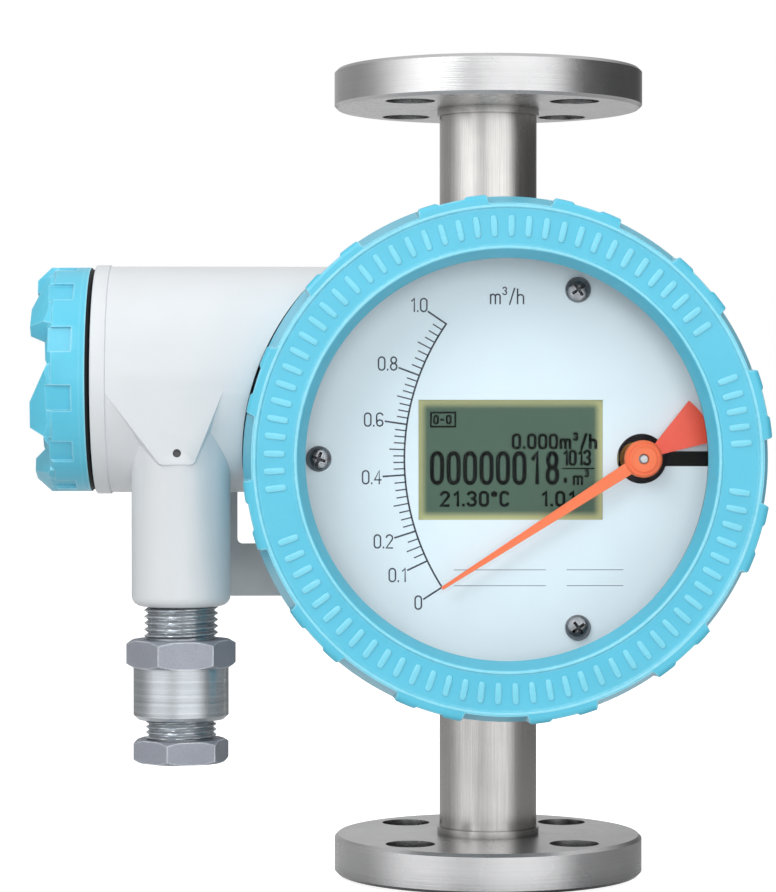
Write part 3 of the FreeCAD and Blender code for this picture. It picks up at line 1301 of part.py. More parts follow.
def terminal_block():
    """A stepped moulded block with one pocket for each terminal screw."""
    block = box(BLOCK_X, TERMINAL_INNER_X, ARM_Y - BLOCK_HALF_W, ARM_Y + BLOCK_HALF_W,
                ARM_Z - BLOCK_HALF_H, ARM_Z + BLOCK_HALF_H)
    step = box(BLOCK_X, BLOCK_X + BLOCK_STEP_L, ARM_Y - BLOCK_HALF_W, ARM_Y + BLOCK_HALF_W,
               ARM_Z - BLOCK_HALF_H, ARM_Z - BLOCK_HALF_H + BLOCK_STEP_H)
    pockets = [rod_x(TERMINAL_SCREW_R + TERMINAL_POCKET_ROOM, BLOCK_X, BLOCK_X + TERMINAL_POCKET_L,
                     y, ARM_Z + TERMINAL_RISE) for y in terminal_places()]
    return block.cut([step] + pockets)


def terminal_places():
    middle = (TERMINAL_COUNT - 1) / 2
    return [ARM_Y + (i - middle) * TERMINAL_PITCH for i in range(TERMINAL_COUNT)]


def terminal_screws():
    screws = []
    floor = BLOCK_X + TERMINAL_POCKET_L
    top = floor - TERMINAL_SCREW_H
    z = ARM_Z + TERMINAL_RISE
    half = TERMINAL_SLOT_W / 2
    for y in terminal_places():
        head = rod_x(TERMINAL_SCREW_R, top, floor, y, z)
        slot = box(top - PAST, top + TERMINAL_SLOT_W, y - TERMINAL_SLOT_HALF_L,
                   y + TERMINAL_SLOT_HALF_L, z - half, z + half)
        screws.append(head.cut(slot))
    return Part.makeCompound(screws)


NODES = {
    "lower_flange": lambda: flange(0.0, 1),
    "upper_flange": lambda: flange(FACE_TO_FACE, -1),
    "measuring_tube": measuring_tube,
    "lower_guide": lambda: float_guide(LOWER_GUIDE_Z - GUIDE_THICK),
    "upper_guide": lambda: float_guide(UPPER_GUIDE_Z),
    "lower_circlip": lambda: circlip(LOWER_GUIDE_Z - GUIDE_THICK - CIRCLIP_THICK),
    "upper_circlip": lambda: circlip(UPPER_GUIDE_Z + GUIDE_THICK),
    "float_body": float_body,
    "float_rod": float_rod,
    "float_magnet": float_magnet,
    "lower_saddle": lambda: saddle(-SADDLE_OFFSET),
    "upper_saddle": lambda: saddle(SADDLE_OFFSET),
    "mounting_bracket": mounting_bracket,
    "housing_screws": housing_screws,
    "saddle_screws": saddle_screws,
    "indicator_housing": indicator_housing,
    "front_cover": front_cover,
    "cover_glass": cover_glass,
    "glass_gasket": glass_gasket,
    "glass_retainer": glass_retainer,
    "front_cover_o_ring": front_cover_o_ring,
    "end_cap": end_cap,
    "end_cap_o_ring": end_cap_o_ring,
    "gland_body": gland_body,
    "gland_seal": gland_seal,
    "gland_washer": gland_washer,
    "gland_nut": gland_nut,
    "dial_plate": dial_plate,
    "dial_screws": dial_screws,
    "dial_pillars": dial_pillars,
    "display_frame": display_frame,
    "display_glass": display_glass,
    "display_board": display_board,
    "main_board": main_board,
    "board_pillars": board_pillars,
    "movement_frame": movement_frame,
    "movement_bridge": movement_bridge,
    "front_bearing": lambda: bearing(BRIDGE_BACK_Y, True),
    "rear_bearing": lambda: bearing(FRAME_BACK_Y, False),
    "pointer_shaft": pointer_shaft,
    "pointer_needle": pointer_needle,
    "pointer_tail": pointer_tail,
    "follower_lever": follower_lever,
    "follower_magnet": follower_magnet,
    "lever_counterweight": lever_counterweight,
    "terminal_block": terminal_block,
    "terminal_screws": terminal_screws,
}

os.makedirs("parts", exist_ok=True)
for node_name, make in NODES.items():
    save(node_name, make())
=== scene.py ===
# %% [markdown]
# # A flow meter with a round dial, dressed for a studio picture
#
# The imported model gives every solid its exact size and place. This script gives those solids
# their surfaces, adds what is too fine for them (print, threads, soft cast edges, weld beads),
# and builds the studio: camera, floor and lights. All lengths in the lists below are in
# millimetres and are turned into metres where a mesh is made.

# %%
# Load the frame
import json
import math

import bmesh
import bpy
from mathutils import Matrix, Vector


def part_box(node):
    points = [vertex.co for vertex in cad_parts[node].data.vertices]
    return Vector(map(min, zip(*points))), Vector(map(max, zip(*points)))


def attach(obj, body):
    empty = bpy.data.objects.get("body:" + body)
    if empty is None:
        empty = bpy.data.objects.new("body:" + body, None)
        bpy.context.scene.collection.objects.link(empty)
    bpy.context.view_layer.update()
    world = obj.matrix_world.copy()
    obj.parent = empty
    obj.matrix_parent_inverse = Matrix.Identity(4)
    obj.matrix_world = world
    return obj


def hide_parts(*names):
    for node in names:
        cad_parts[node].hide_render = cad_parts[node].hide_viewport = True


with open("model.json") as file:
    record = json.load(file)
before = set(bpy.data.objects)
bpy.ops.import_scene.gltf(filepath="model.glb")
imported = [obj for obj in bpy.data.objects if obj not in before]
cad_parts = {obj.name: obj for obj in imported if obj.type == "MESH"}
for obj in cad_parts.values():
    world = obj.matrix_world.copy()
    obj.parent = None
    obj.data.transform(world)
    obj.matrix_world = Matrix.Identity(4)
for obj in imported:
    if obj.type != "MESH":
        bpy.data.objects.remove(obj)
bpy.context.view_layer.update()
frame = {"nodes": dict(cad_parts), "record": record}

MM = 0.001
nodes = frame["nodes"]
slot_of = {s["node"]: s["material_slot"] for s in frame["record"]["subparts"]}
body_of = {n: b for b, members in frame["record"]["behaviour"]["bodies"].items() for n in members}

# %% [markdown]
# ## Camera
#
# The picture was taken from close by, a little left of the tube and at the height of the dial.
# A camera could be placed by eye, but the two flanges give it away: how far their round edges
# open as ellipses fixes the height and the distance, and the distance fixes the lens.

# %%
# Place the camera
CAMERA_AT = Vector((-51.6, -948.0, 141.5)) * MM
CAMERA_YAW = math.radians(1.246)
CAMERA_PITCH = math.radians(-0.52)
LENS_MM = 123.66
SENSOR_MM = 36.0

scene = bpy.context.scene
camera_data = bpy.data.cameras.new("camera")
camera_data.lens = LENS_MM
camera_data.sensor_width = SENSOR_MM
camera = bpy.data.objects.new("camera", camera_data)
scene.collection.objects.link(camera)
camera.location = CAMERA_AT
camera.rotation_euler = (math.radians(90) + CAMERA_PITCH, 0, -CAMERA_YAW)
scene.camera = camera
scene.view_settings.view_transform = "Standard"
print("camera at", [round(v, 4) for v in camera.location])

# %% [markdown]
# ## Small tools for shader trees
#
# A shader is a tree of nodes joined by links. Written out in full, each node takes several
# lines, so `tree_tools` returns three short functions for one tree. `add` makes a node and sets
# its inputs by name or number, and a value that is itself a socket becomes a link. `maths` and
# `vector` do the same for sums. `remap` and `blend` are the two steps that nearly every surface
# needs.

# %%
# Colours and nodes
def srgb(r, g, b):
    """A colour as it is read off a picture, as the linear values that shaders use."""
    def linear(v):
        v /= 255
        return v / 12.92 if v <= 0.04045 else ((v + 0.055) / 1.055) ** 2.4
    return (linear(r), linear(g), linear(b), 1.0)


def tree_tools(tree):
    """The functions that add nodes, sums and vector sums to one tree."""
    def put(socket, value):
        if isinstance(value, bpy.types.NodeSocket):
            tree.links.new(value, socket)
        else:
            socket.default_value = value

    def add(kind, inputs=None, **settings):
        node = tree.nodes.new(kind)
        for key, value in settings.items():
            setattr(node, key, value)
        for key, value in (inputs or {}).items():
            put(node.inputs[key], value)
        return node

    def maths(operation, a, b=0.0, c=0.0):
        node = add("ShaderNodeMath", {0: a, 1: b, 2: c}, operation=operation)
        return node.outputs[0]

    def vector(operation, a, b=(0, 0, 0)):
        node = add("ShaderNodeVectorMath", {0: a, 1: b}, operation=operation)
        return node.outputs["Value" if operation in ("LENGTH", "DOT_PRODUCT") else "Vector"]
    return add, maths, vector


print("middle grey", [round(v, 3) for v in srgb(128, 128, 128)])


# %%
# New groups and materials, ranges and blends
def new_group(name, inputs, outputs):
    """A node group with named sockets, and the sockets that its nodes read from and write to."""
    group = bpy.data.node_groups.new(name, "ShaderNodeTree")
    for label, kind, value in inputs:
        socket = group.interface.new_socket(label, in_out="INPUT", socket_type=kind)
        socket.default_value = value
    for label, kind in outputs:
        group.interface.new_socket(label, in_out="OUTPUT", socket_type=kind)
    return group, group.nodes.new("NodeGroupInput").outputs, group.nodes.new("NodeGroupOutput").inputs


def remap(add, value, low, high, to_low=0.0, to_high=1.0, smooth=False):
    """A value carried from one range to another and held at its ends."""
    node = add("ShaderNodeMapRange", {"Value": value, "From Min": low, "From Max": high,
                                      "To Min": to_low, "To Max": to_high},
               interpolation_type="SMOOTHSTEP" if smooth else "LINEAR")
    return node.outputs[0]


def blend(add, factor, a, b):
    """One colour laid over another where a mask says so."""
    node = add("ShaderNodeMix", {"Factor": factor, "A": a, "B": b}, data_type="RGBA")
    return node.outputs["Result"]


def empty_material(name):
    """A new material whose tree has no nodes yet."""
    material = bpy.data.materials.new(name)
    material.use_nodes = True
    material.node_tree.nodes.clear()
    return material, material.node_tree


FLOAT, VECTOR = "NodeSocketFloat", "NodeSocketVector"
print("helpers ready")

# %% [markdown]
# ## Shared surface effects
#
# Each effect is one node group with named sockets, so a student can open it, change a number
# and see every material that uses it change. They work in the object's own coordinates, so a
# pattern stays on a piece when the piece moves. The first is the faint orange peel of a sprayed
# coating. It could be sculpted, but it is far too shallow for that, so it is a bump: a wide
# noise with a finer one on top.

# %%
# Coating ripple
RIPPLE_FINER, RIPPLE_FINE_SHARE, RIPPLE_HIGH = 3.1, 0.35, 0.0003


def coating_ripple():
    """Faint orange peel."""
    group, given, out = new_group(
        "coating ripple",
        [("Size per metre", FLOAT, 420.0), ("Strength", FLOAT, 0.10)],
        [("Normal", VECTOR), ("Value", FLOAT)])
    add, maths, _ = tree_tools(group)
    where = add("ShaderNodeTexCoord").outputs["Object"]
    wide = add("ShaderNodeTexNoise", {"Vector": where, "Scale": given[0], "Detail": 1.0})
    finer = maths("MULTIPLY", given[0], RIPPLE_FINER)
    fine = add("ShaderNodeTexNoise", {"Vector": where, "Scale": finer, "Detail": 2.0})
    both = maths("ADD", wide.outputs[0], maths("MULTIPLY", fine.outputs[0], RIPPLE_FINE_SHARE))
    bump = add("ShaderNodeBump", {"Height": both, "Strength": given[1], "Distance": RIPPLE_HIGH})
    group.links.new(bump.outputs[0], out[0])
    group.links.new(both, out[1])
    return group


groups = {"coating ripple": coating_ripple()}
print("groups", len(groups))

# %% [markdown]
# A lathe leaves fine rings about the axis that it turned a piece on, and drawing or rolling
# leaves long streaks along a tube or a plate. Both could be images wrapped round each piece, but
# then a seam would show. Here one noise is stretched instead: all the way round an axis, or far
# along one direction.

# %%
# Turning marks and drawn grain
MARK_HIGH = 0.0001


def turning_marks():
    """Fine rings about an axis."""
    group, given, out = new_group(
        "turning marks",
        [("Centre", VECTOR, (0, 0, 0)), ("Axis", VECTOR, (0, 0, 1)),
         ("Rings per metre", FLOAT, 2600.0), ("Strength", FLOAT, 0.15), ("Facing", FLOAT, 1.0)],
        [("Normal", VECTOR), ("Value", FLOAT)])
    add, maths, vector = tree_tools(group)
    where = add("ShaderNodeTexCoord").outputs["Object"]
    arm = vector("SUBTRACT", where, given[0])
    along = vector("DOT_PRODUCT", arm, given[1])
    axial = add("ShaderNodeVectorMath", {0: given[1], "Scale": along}, operation="SCALE").outputs[0]
    radius = vector("LENGTH", vector("SUBTRACT", arm, axial))
    facing = maths("MULTIPLY", radius, given[4])
    place = add("ShaderNodeCombineXYZ", {"X": maths("MULTIPLY", facing, given[2]),
                                         "Y": maths("MULTIPLY", along, given[2])})
    rings = add("ShaderNodeTexNoise", {"Vector": place.outputs[0], "Scale": 1.0, "Detail": 3.0,
                                       "Roughness": 0.7})
    bump = add("ShaderNodeBump", {"Height": rings.outputs[0], "Strength": given[3],
                                  "Distance": MARK_HIGH})
    group.links.new(bump.outputs[0], out[0])
    group.links.new(rings.outputs[0], out[1])
    return group


def drawn_grain():
    """Long streaks along one direction."""
    group, given, out = new_group(
        "drawn grain",
        [("Stretch", VECTOR, (2500.0, 2500.0, 30.0)), ("Strength", FLOAT, 0.12)],
        [("Normal", VECTOR), ("Value", FLOAT)])
    add, maths, vector = tree_tools(group)
    where = add("ShaderNodeTexCoord").outputs["Object"]
    streaks = add("ShaderNodeTexNoise", {"Vector": vector("MULTIPLY", where, given[0]),
                                         "Scale": 1.0, "Detail": 3.0, "Roughness": 0.65})
    bump = add("ShaderNodeBump", {"Height": streaks.outputs[0], "Strength": given[1],
                                  "Distance": MARK_HIGH})
    group.links.new(bump.outputs[0], out[0])
    group.links.new(streaks.outputs[0], out[1])
    return group


groups["turning marks"] = turning_marks()
groups["drawn grain"] = drawn_grain()
print("groups", len(groups))

# %% [markdown]
# No surface in use is evenly clean. Where hands and cloths have been, it is a little duller or a
# little glossier, in large soft patches. They could be painted for each piece. A slow noise that
# runs between two values does it for all pieces, and serves both for roughness and for tone.


# %%
# Handling marks
def handling_marks():
    """Large soft patches between a low and a high value."""
    group, given, out = new_group(
        "handling marks",
        [("Size per metre", FLOAT, 38.0), ("Low", FLOAT, 0.25), ("High", FLOAT, 0.35)],
        [("Value", FLOAT)])
    add, _, _ = tree_tools(group)
    where = add("ShaderNodeTexCoord").outputs["Object"]
    patches = add("ShaderNodeTexNoise", {"Vector": where, "Scale": given[0], "Detail": 2.0})
    spread = remap(add, patches.outputs[0], 0.2, 0.8, given[1], given[2], smooth=True)
    group.links.new(spread, out[0])
    return group


groups["handling marks"] = handling_marks()
print("groups", len(groups))

# %% [markdown]
# Wear and dust gather where the shape says: wear on sharp edges, dust on faces that look up.
# Bright edges are also painted highlight, and deep in grooves, holes and threads the colour is
# darkened as painted shade. Masks painted as images would have to be done again whenever a shape
# changes. These masks are worked out from the shape itself: from how far a bevelled normal
# leans, how far a face looks up, and how little of the room a point can see.

# %%
# Edge wear and painted highlight
BREAKS_PER_METRE = 700.0


def edge_wear():
    """A mask on sharp edges, broken up so that no edge is worn evenly; it carries wear and painted
    highlights.
    """
    group, given, out = new_group(
        "edge wear", [("Width in metres", FLOAT, 0.0006), ("Amount", FLOAT, 0.5)],
        [("Mask", FLOAT)])
    add, maths, vector = tree_tools(group)
    soft = add("ShaderNodeBevel", {"Radius": given[0]}, samples=4)
    plain = add("ShaderNodeNewGeometry").outputs["Normal"]
    turn = maths("SUBTRACT", 1.0, vector("DOT_PRODUCT", soft.outputs[0], plain))
    where = add("ShaderNodeTexCoord").outputs["Object"]
    breaks = add("ShaderNodeTexNoise", {"Vector": where, "Scale": BREAKS_PER_METRE, "Detail": 2.0})
    mask = remap(add, maths("MULTIPLY", turn, breaks.outputs[0]), 0.01, 0.09, 0.0, given[1])
    group.links.new(mask, out[0])
    return group


groups["edge wear"] = edge_wear()
print("groups", len(groups))

# %%
# Settled dust and crevice shade
SPECKS_PER_METRE = 260.0


def settled_dust():
    """A mask of specks on faces that look up."""
    group, given, out = new_group("settled dust", [("Amount", FLOAT, 0.15)], [("Mask", FLOAT)])
    add, maths, _ = tree_tools(group)
    up = add("ShaderNodeSeparateXYZ", {0: add("ShaderNodeNewGeometry").outputs["Normal"]}).outputs[2]
    where = add("ShaderNodeTexCoord").outputs["Object"]
    specks = add("ShaderNodeTexNoise", {"Vector": where, "Scale": SPECKS_PER_METRE, "Detail": 5.0})
    facing = remap(add, up, 0.55, 1.0)
    mask = maths("MULTIPLY", maths("MULTIPLY", facing, specks.outputs[0]), given[0])
    group.links.new(mask, out[0])
    return group


def crevice_shade():
    """A mask of painted shade deep in grooves, holes and threads."""
    group, given, out = new_group(
        "crevice shade",
        [("Reach in metres", FLOAT, 0.003), ("Amount", FLOAT, 0.6), ("Start", FLOAT, 0.15)],
        [("Mask", FLOAT)])
    add, maths, _ = tree_tools(group)
    open_part = add("ShaderNodeAmbientOcclusion", {"Distance": given[0]}, samples=6)
    closed = maths("SUBTRACT", 1.0, open_part.outputs["AO"])
    mask = remap(add, closed, given[2], maths("ADD", given[2], 0.5), 0.0, given[1])
    group.links.new(mask, out[0])
    return group


groups["settled dust"] = settled_dust()
groups["crevice shade"] = crevice_shade()
print("groups", sorted(groups))

# %% [markdown]
# ## Materials
#
# The real pieces are painted castings, turned and drawn steel, zinc plated metal, rubber and
# plastic. Each could have its own tree, but all wear in the same few ways, so one function
# builds a surface from the groups: a base colour that varies a little, a roughness that follows
# the handling marks, worn edges that also carry painted highlights, painted shade in crevices,
# dust on top, and one of the relief groups.


# %%
# The function that builds a surface
# The near black of painted shade in crevices.
CREVICE_COLOUR = (0.01, 0.01, 0.012, 1)
DUST_COLOUR = srgb(190, 186, 178)


def surface(name, colour, rough=(0.3, 0.4), metallic=0.0, relief=None, relief_inputs=None,
            edge=None, edge_amount=0.4, edge_width=0.0006, dust=0.0, variation=0.06,
            specular=0.5, crevice=0.0, reach=0.003, start=0.15, streaks=0.0):
    """A paint, metal or plastic made of the shared groups."""
    material, tree = empty_material(name)
    add, _, _ = tree_tools(tree)

    def use(group_name, inputs=None):
        return add("ShaderNodeGroup", inputs, node_tree=groups[group_name])

    marks = use("handling marks", {"Low": rough[0], "High": rough[1]})
    tone = use("handling marks", {"Size per metre": 90.0, "Low": 1.0 - variation, "High": 1.0})
    value = add("ShaderNodeHueSaturation", {"Color": colour, "Value": tone.outputs[0]}).outputs[0]
    shaped = use(relief, relief_inputs) if relief else None
    if streaks:
        band = remap(add, shaped.outputs["Value"], 0.35, 0.65, 1.0 - streaks)
        value = add("ShaderNodeHueSaturation", {"Color": value, "Value": band}).outputs[0]
    # Edges are lightened: wear, and painted highlight where the edge colour is bright.
    if edge:
        mask = use("edge wear", {"Width in metres": edge_width, "Amount": edge_amount}).outputs[0]
        value = blend(add, mask, value, edge)
    # Crevices are darkened towards near black: painted shade.
    if crevice:
        mask = use("crevice shade", {"Reach in metres": reach, "Amount": crevice,
                                     "Start": start}).outputs[0]
        value = blend(add, mask, value, CREVICE_COLOUR)
    if dust:
        mask = use("settled dust", {"Amount": dust}).outputs[0]
        value = blend(add, mask, value, DUST_COLOUR)
    shader = add("ShaderNodeBsdfPrincipled", {
        "Base Color": value, "Roughness": marks.outputs[0], "Metallic": metallic,
        "Specular IOR Level": specular})
    if shaped:
        tree.links.new(shaped.outputs["Normal"], shader.inputs["Normal"])
    add("ShaderNodeOutputMaterial", {0: shader.outputs[0]})
    return material


print("dust colour", [round(v, 2) for v in DUST_COLOUR])

# %%
# Paints and steels of the slots
# The crevice settings below paint shade into holes, grooves, threads and the corners round the tube;
# the blue paint's light edges are painted highlights as well as wear.
materials = {
    "white_paint": surface("white paint", srgb(215, 219, 222), (0.30, 0.38), relief="coating ripple",
                           relief_inputs={"Strength": 0.10}, dust=0.05, variation=0.02,
                           crevice=0.97, reach=0.004, start=0.45),
    "blue_paint": surface("light blue paint", srgb(86, 194, 222), (0.28, 0.38),
                          relief="coating ripple", relief_inputs={"Strength": 0.18},
                          edge=srgb(185, 238, 248), edge_amount=0.75, edge_width=0.0008, dust=0.04,
                          variation=0.06, crevice=0.22, reach=0.004),
    "flange_steel": surface("flange steel", srgb(200, 200, 201), (0.22, 0.32), 1.0,
                            "turning marks", {"Rings per metre": 3400.0, "Strength": 0.35},
                            edge=srgb(225, 225, 226), edge_amount=0.4, variation=0.10,
                            crevice=0.94, reach=0.016, start=0.30, streaks=0.10),
    "tube_steel": surface("tube steel", srgb(198, 196, 194), (0.20, 0.30), 1.0, "drawn grain",
                          {"Strength": 0.22}, variation=0.08, crevice=0.7, reach=0.004,
                          streaks=0.14),
    "turned_steel": surface("turned steel", srgb(186, 187, 188), (0.18, 0.28), 1.0,
                            "turning marks", {"Strength": 0.12}),
    "spring_steel": surface("spring steel", srgb(110, 110, 114), (0.3, 0.4), 1.0, "drawn grain"),
    "screw_steel": surface("screw steel", srgb(138, 142, 146), (0.22, 0.32), 1.0,
                           "coating ripple", {"Size per metre": 900.0, "Strength": 0.12},
                           edge=srgb(225, 225, 226), crevice=0.98, reach=0.0026, start=0.12),
    "bracket_steel": surface("bracket steel", srgb(172, 180, 184), (0.42, 0.55), 0.35,
                             "drawn grain", {"Stretch": (40.0, 1800.0, 1800.0), "Strength": 0.15},
                             edge=srgb(190, 195, 198), variation=0.12),
    "zinc_plate": surface("zinc plate", srgb(200, 206, 211), (0.20, 0.30), 0.85, "turning marks",
                          {"Centre": (-0.0914, -0.078, 0.05), "Rings per metre": 700.0,
                           "Strength": 0.55, "Facing": 0.0},
                          edge=srgb(236, 240, 244), edge_amount=0.6, variation=0.12,
                          crevice=0.35, reach=0.0014, streaks=0.25),
}
print("paints and steels", len(materials))

# %%
# Rubber, plastic, dial and inner parts of the slots
materials.update({
    "black_rubber": surface("black rubber", srgb(16, 16, 18), (0.5, 0.65), relief="coating ripple",
                            variation=0.25, specular=0.25),
    "dial_white": surface("dial white", srgb(233, 249, 255), (0.42, 0.5), relief="coating ripple",
                          relief_inputs={"Strength": 0.03}, variation=0.02),
    "display_frame": surface("display frame", srgb(176, 178, 132), (0.3, 0.4),
                             relief="coating ripple"),
    "circuit_board": surface("circuit board", srgb(20, 92, 58), (0.3, 0.45),
                             relief="coating ripple", variation=0.3),
    "movement_alloy": surface("movement alloy", srgb(74, 74, 82), (0.4, 0.5), 0.8,
                              "drawn grain", {"Stretch": (60.0, 2200.0, 2200.0)}, crevice=0.9,
                              reach=0.012),
    "brass": surface("brass", srgb(206, 172, 98), (0.2, 0.32), 1.0, "turning marks"),
    "magnet_plate": surface("magnet plate", srgb(206, 206, 202), (0.1, 0.2), 1.0,
                            "coating ripple", {"Strength": 0.06}),
    "black_plastic": surface("black plastic", srgb(30, 30, 32), (0.38, 0.5),
                             relief="coating ripple", variation=0.2),
    "pointer_orange": surface("pointer orange", srgb(255, 122, 70), (0.35, 0.45),
                              relief="coating ripple", relief_inputs={"Strength": 0.06},
                              variation=0.05),
    "tail_red": surface("tail red", srgb(255, 92, 66), (0.35, 0.45), relief="coating ripple",
                        relief_inputs={"Strength": 0.06}, variation=0.05),
})
print("slot materials", len(materials))

# %% [markdown]
# The window is a thick plate of clear glass, and the display is a flat glass with a grey-green
# film behind it. Real glass bends light both ways, and lamps seen through it take many samples
# to settle. So the window is glass for what the camera sees, with a low index so that it mirrors
# little of the studio, and it is simply clear for shadows and soft light. The display needs no
# glass at all: a panel whose colour is painted lighter at its edges, a painted glow, looks the same.


# %%
# Window glass and display
GLASS_IOR = 1.12
GLOW_FROM, GLOW_TO = 0.0004, 0.0034


def clear_glass(name):
    """Clear glass that lets light through to what is behind it."""
    material, tree = empty_material(name)
    add, maths, _ = tree_tools(tree)
    smear = add("ShaderNodeGroup", {"Low": 0.0, "High": 0.015}, node_tree=groups["handling marks"])
    glass = add("ShaderNodeBsdfPrincipled", {
        "Base Color": (0.98, 0.99, 1.0, 1.0), "Roughness": smear.outputs[0], "IOR": GLASS_IOR,
        "Transmission Weight": 1.0})
    through = add("ShaderNodeBsdfTransparent", {"Color": (0.99, 0.995, 1.0, 1.0)})
    ray = add("ShaderNodeLightPath").outputs
    unseen = maths("MAXIMUM", ray["Is Shadow Ray"], ray["Is Diffuse Ray"])
    both = add("ShaderNodeMixShader", {0: unseen, 1: glass.outputs[0], 2: through.outputs[0]})
    add("ShaderNodeOutputMaterial", {0: both.outputs[0]})
    return material


def display_panel(name, low, high):
    """A grey-green panel whose edges are painted lighter: a painted glow, as where a lamp behind it
    leaks past.
    """
    material, tree = empty_material(name)
    add, maths, vector = tree_tools(tree)
    where = add("ShaderNodeTexCoord").outputs["Object"]
    middle, half = (low + high) / 2, (high - low) / 2
    offset = vector("ABSOLUTE", vector("SUBTRACT", where, tuple(middle)))
    split = add("ShaderNodeSeparateXYZ", {0: offset}).outputs
    plain = []
    for size, place in ((half.x, split[0]), (half.z, split[2])):
        inset = maths("SUBTRACT", size, place)
        plain.append(remap(add, inset, GLOW_FROM, GLOW_TO, smooth=True))
    glow = maths("SUBTRACT", 1.0, maths("MULTIPLY", *plain))
    tone = add("ShaderNodeGroup", {"Low": 0.94, "High": 1.0}, node_tree=groups["handling marks"])
    base = add("ShaderNodeHueSaturation", {"Color": srgb(74, 100, 84), "Value": tone.outputs[0]})
    # The lighter edge colour is a painted glow.
    colour = blend(add, glow, base.outputs[0], srgb(196, 196, 142))
    shader = add("ShaderNodeBsdfPrincipled", {"Base Color": colour, "Roughness": 0.3,
                                              "Specular IOR Level": 0.2})
    add("ShaderNodeOutputMaterial", {0: shader.outputs[0]})
    return material


materials["window_glass"] = clear_glass("window glass")
materials["display_glass"] = display_panel("display panel", *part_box("display_glass"))
print("glass and display made")

# %% [markdown]
# Some finishes belong to no slot of the imported model, because only the pieces that this script
# adds have them: the two inks, of which the display's also darkens the slot behind the dial as
# painted shade, bare thread metal, a lighter blue paint that is painted highlight, weld metal,
# and the satin flats of a hexagon.

# %%
# Finishes of the added pieces
# Cut alloy and weld bead steel get painted shade in their crevices, and the satin zinc's light edges
# are painted highlights on the hexagons.
ink = surface("dial ink", srgb(40, 54, 70), (0.5, 0.6), relief="coating ripple", variation=0.15)
display_ink = surface("display ink", srgb(2, 6, 5), (0.5, 0.6), relief="coating ripple",
                      variation=0.1, specular=0.1)
cut_alloy = surface("cut alloy", srgb(186, 188, 190), (0.22, 0.32), 0.95, "coating ripple",
                    {"Size per metre": 800.0, "Strength": 0.10}, variation=0.12, crevice=0.5,
                    reach=0.0014)
rubbed_paint = surface("rubbed blue paint", srgb(122, 214, 236), (0.26, 0.34),
                       relief="coating ripple", relief_inputs={"Strength": 0.12},
                       edge=srgb(200, 244, 252), edge_amount=0.9, variation=0.05)
bead_steel = surface("weld bead steel", srgb(176, 174, 174), (0.18, 0.28), 1.0, "coating ripple",
                     {"Size per metre": 900.0, "Strength": 0.12}, variation=0.2, crevice=0.9,
                     reach=0.002)
satin_zinc = surface("satin zinc", srgb(150, 154, 164), (0.50, 0.60), 0.5, "coating ripple",
                     {"Size per metre": 1500.0, "Strength": 0.35}, edge=srgb(236, 240, 244),
                     edge_amount=0.9, edge_width=0.0007, variation=0.10, streaks=0.12)
extra = (ink, display_ink, cut_alloy, rubbed_paint, bead_steel, satin_zinc)
print("materials", len(materials) + len(extra))

# %% [markdown]
# ## Dress the solids
#
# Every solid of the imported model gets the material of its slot, so that a piece made of brass
# looks like brass wherever it is. Where a later cell makes a finer piece in a solid's place, the
# solid is hidden and stays for collision only.

# %%
# Give each solid its material
for name, node in nodes.items():
    node.data.materials.clear()
    node.data.materials.append(materials[slot_of[name]])
print("dressed", len(nodes))

# %% [markdown]
# ## Mesh tools
#
# Most pieces of the meter are turned, so one tool does most of the work: a lathe whose radius
# may depend on the angle makes rings with recesses, hexagons and screw threads alike. Cutting
# them from cylinders would need many booleans and leave ragged faces.


# %%
# Turn vertices and faces into a piece
def as_piece(name, vertices, faces, node, material, hidden=(), smooth_deg=35.0):
    """A new piece, from vertices in millimetres; it rides with the node that it belongs to."""
    mesh = bpy.data.meshes.new(name)
    mesh.from_pydata([tuple(c * MM for c in v) for v in vertices], [], faces)
    piece = bpy.data.objects.new(name, mesh)
    scene.collection.objects.link(piece)
    finish_piece(piece, node, material, hidden, smooth_deg)


def finish_piece(piece, node, material, hidden=(), smooth_deg=35.0):
    """Clean the mesh, give it its material and body, and hide the solids it replaces."""
    work = bmesh.new()
    work.from_mesh(piece.data)
    bmesh.ops.remove_doubles(work, verts=work.verts, dist=1e-7)
    bmesh.ops.recalc_face_normals(work, faces=work.faces)
    work.to_mesh(piece.data)
    work.free()
    piece.data.materials.clear()
    piece.data.materials.append(material)
    piece.data.shade_smooth()
    piece.data.set_sharp_from_angle(angle=math.radians(smooth_deg))
    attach(piece, body_of[node])
    if hidden:
        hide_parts(*hidden)


# %%
# Rounded outlines and the lathe
def rounded(points, steps=4):
    """A closed outline; a corner given as (r, s, radius) is rounded."""
    result = []
    count = len(points)
    for i, point in enumerate(points):
        if len(point) == 2 or point[2] == 0:
            result.append((point[0], point[1]))
            continue
        here = Vector(point[:2])
        back = Vector(points[i - 1][:2]) - here
        ahead = Vector(points[(i + 1) % count][:2]) - here
        half = back.angle(ahead) / 2
        reach = min(point[2] / math.tan(half), back.length * 0.5, ahead.length * 0.5)
        start, end = here + back.normalized() * reach, here + ahead.normalized() * reach
        centre = here + (back.normalized() + ahead.normalized()).normalized() * (
            reach * math.tan(half) / math.sin(half))
        for k in range(steps + 1):
            t = k / steps
            way = (start - centre).lerp(end - centre, t).normalized()
            result.append(tuple(centre + way * (start - centre).length))
    return result


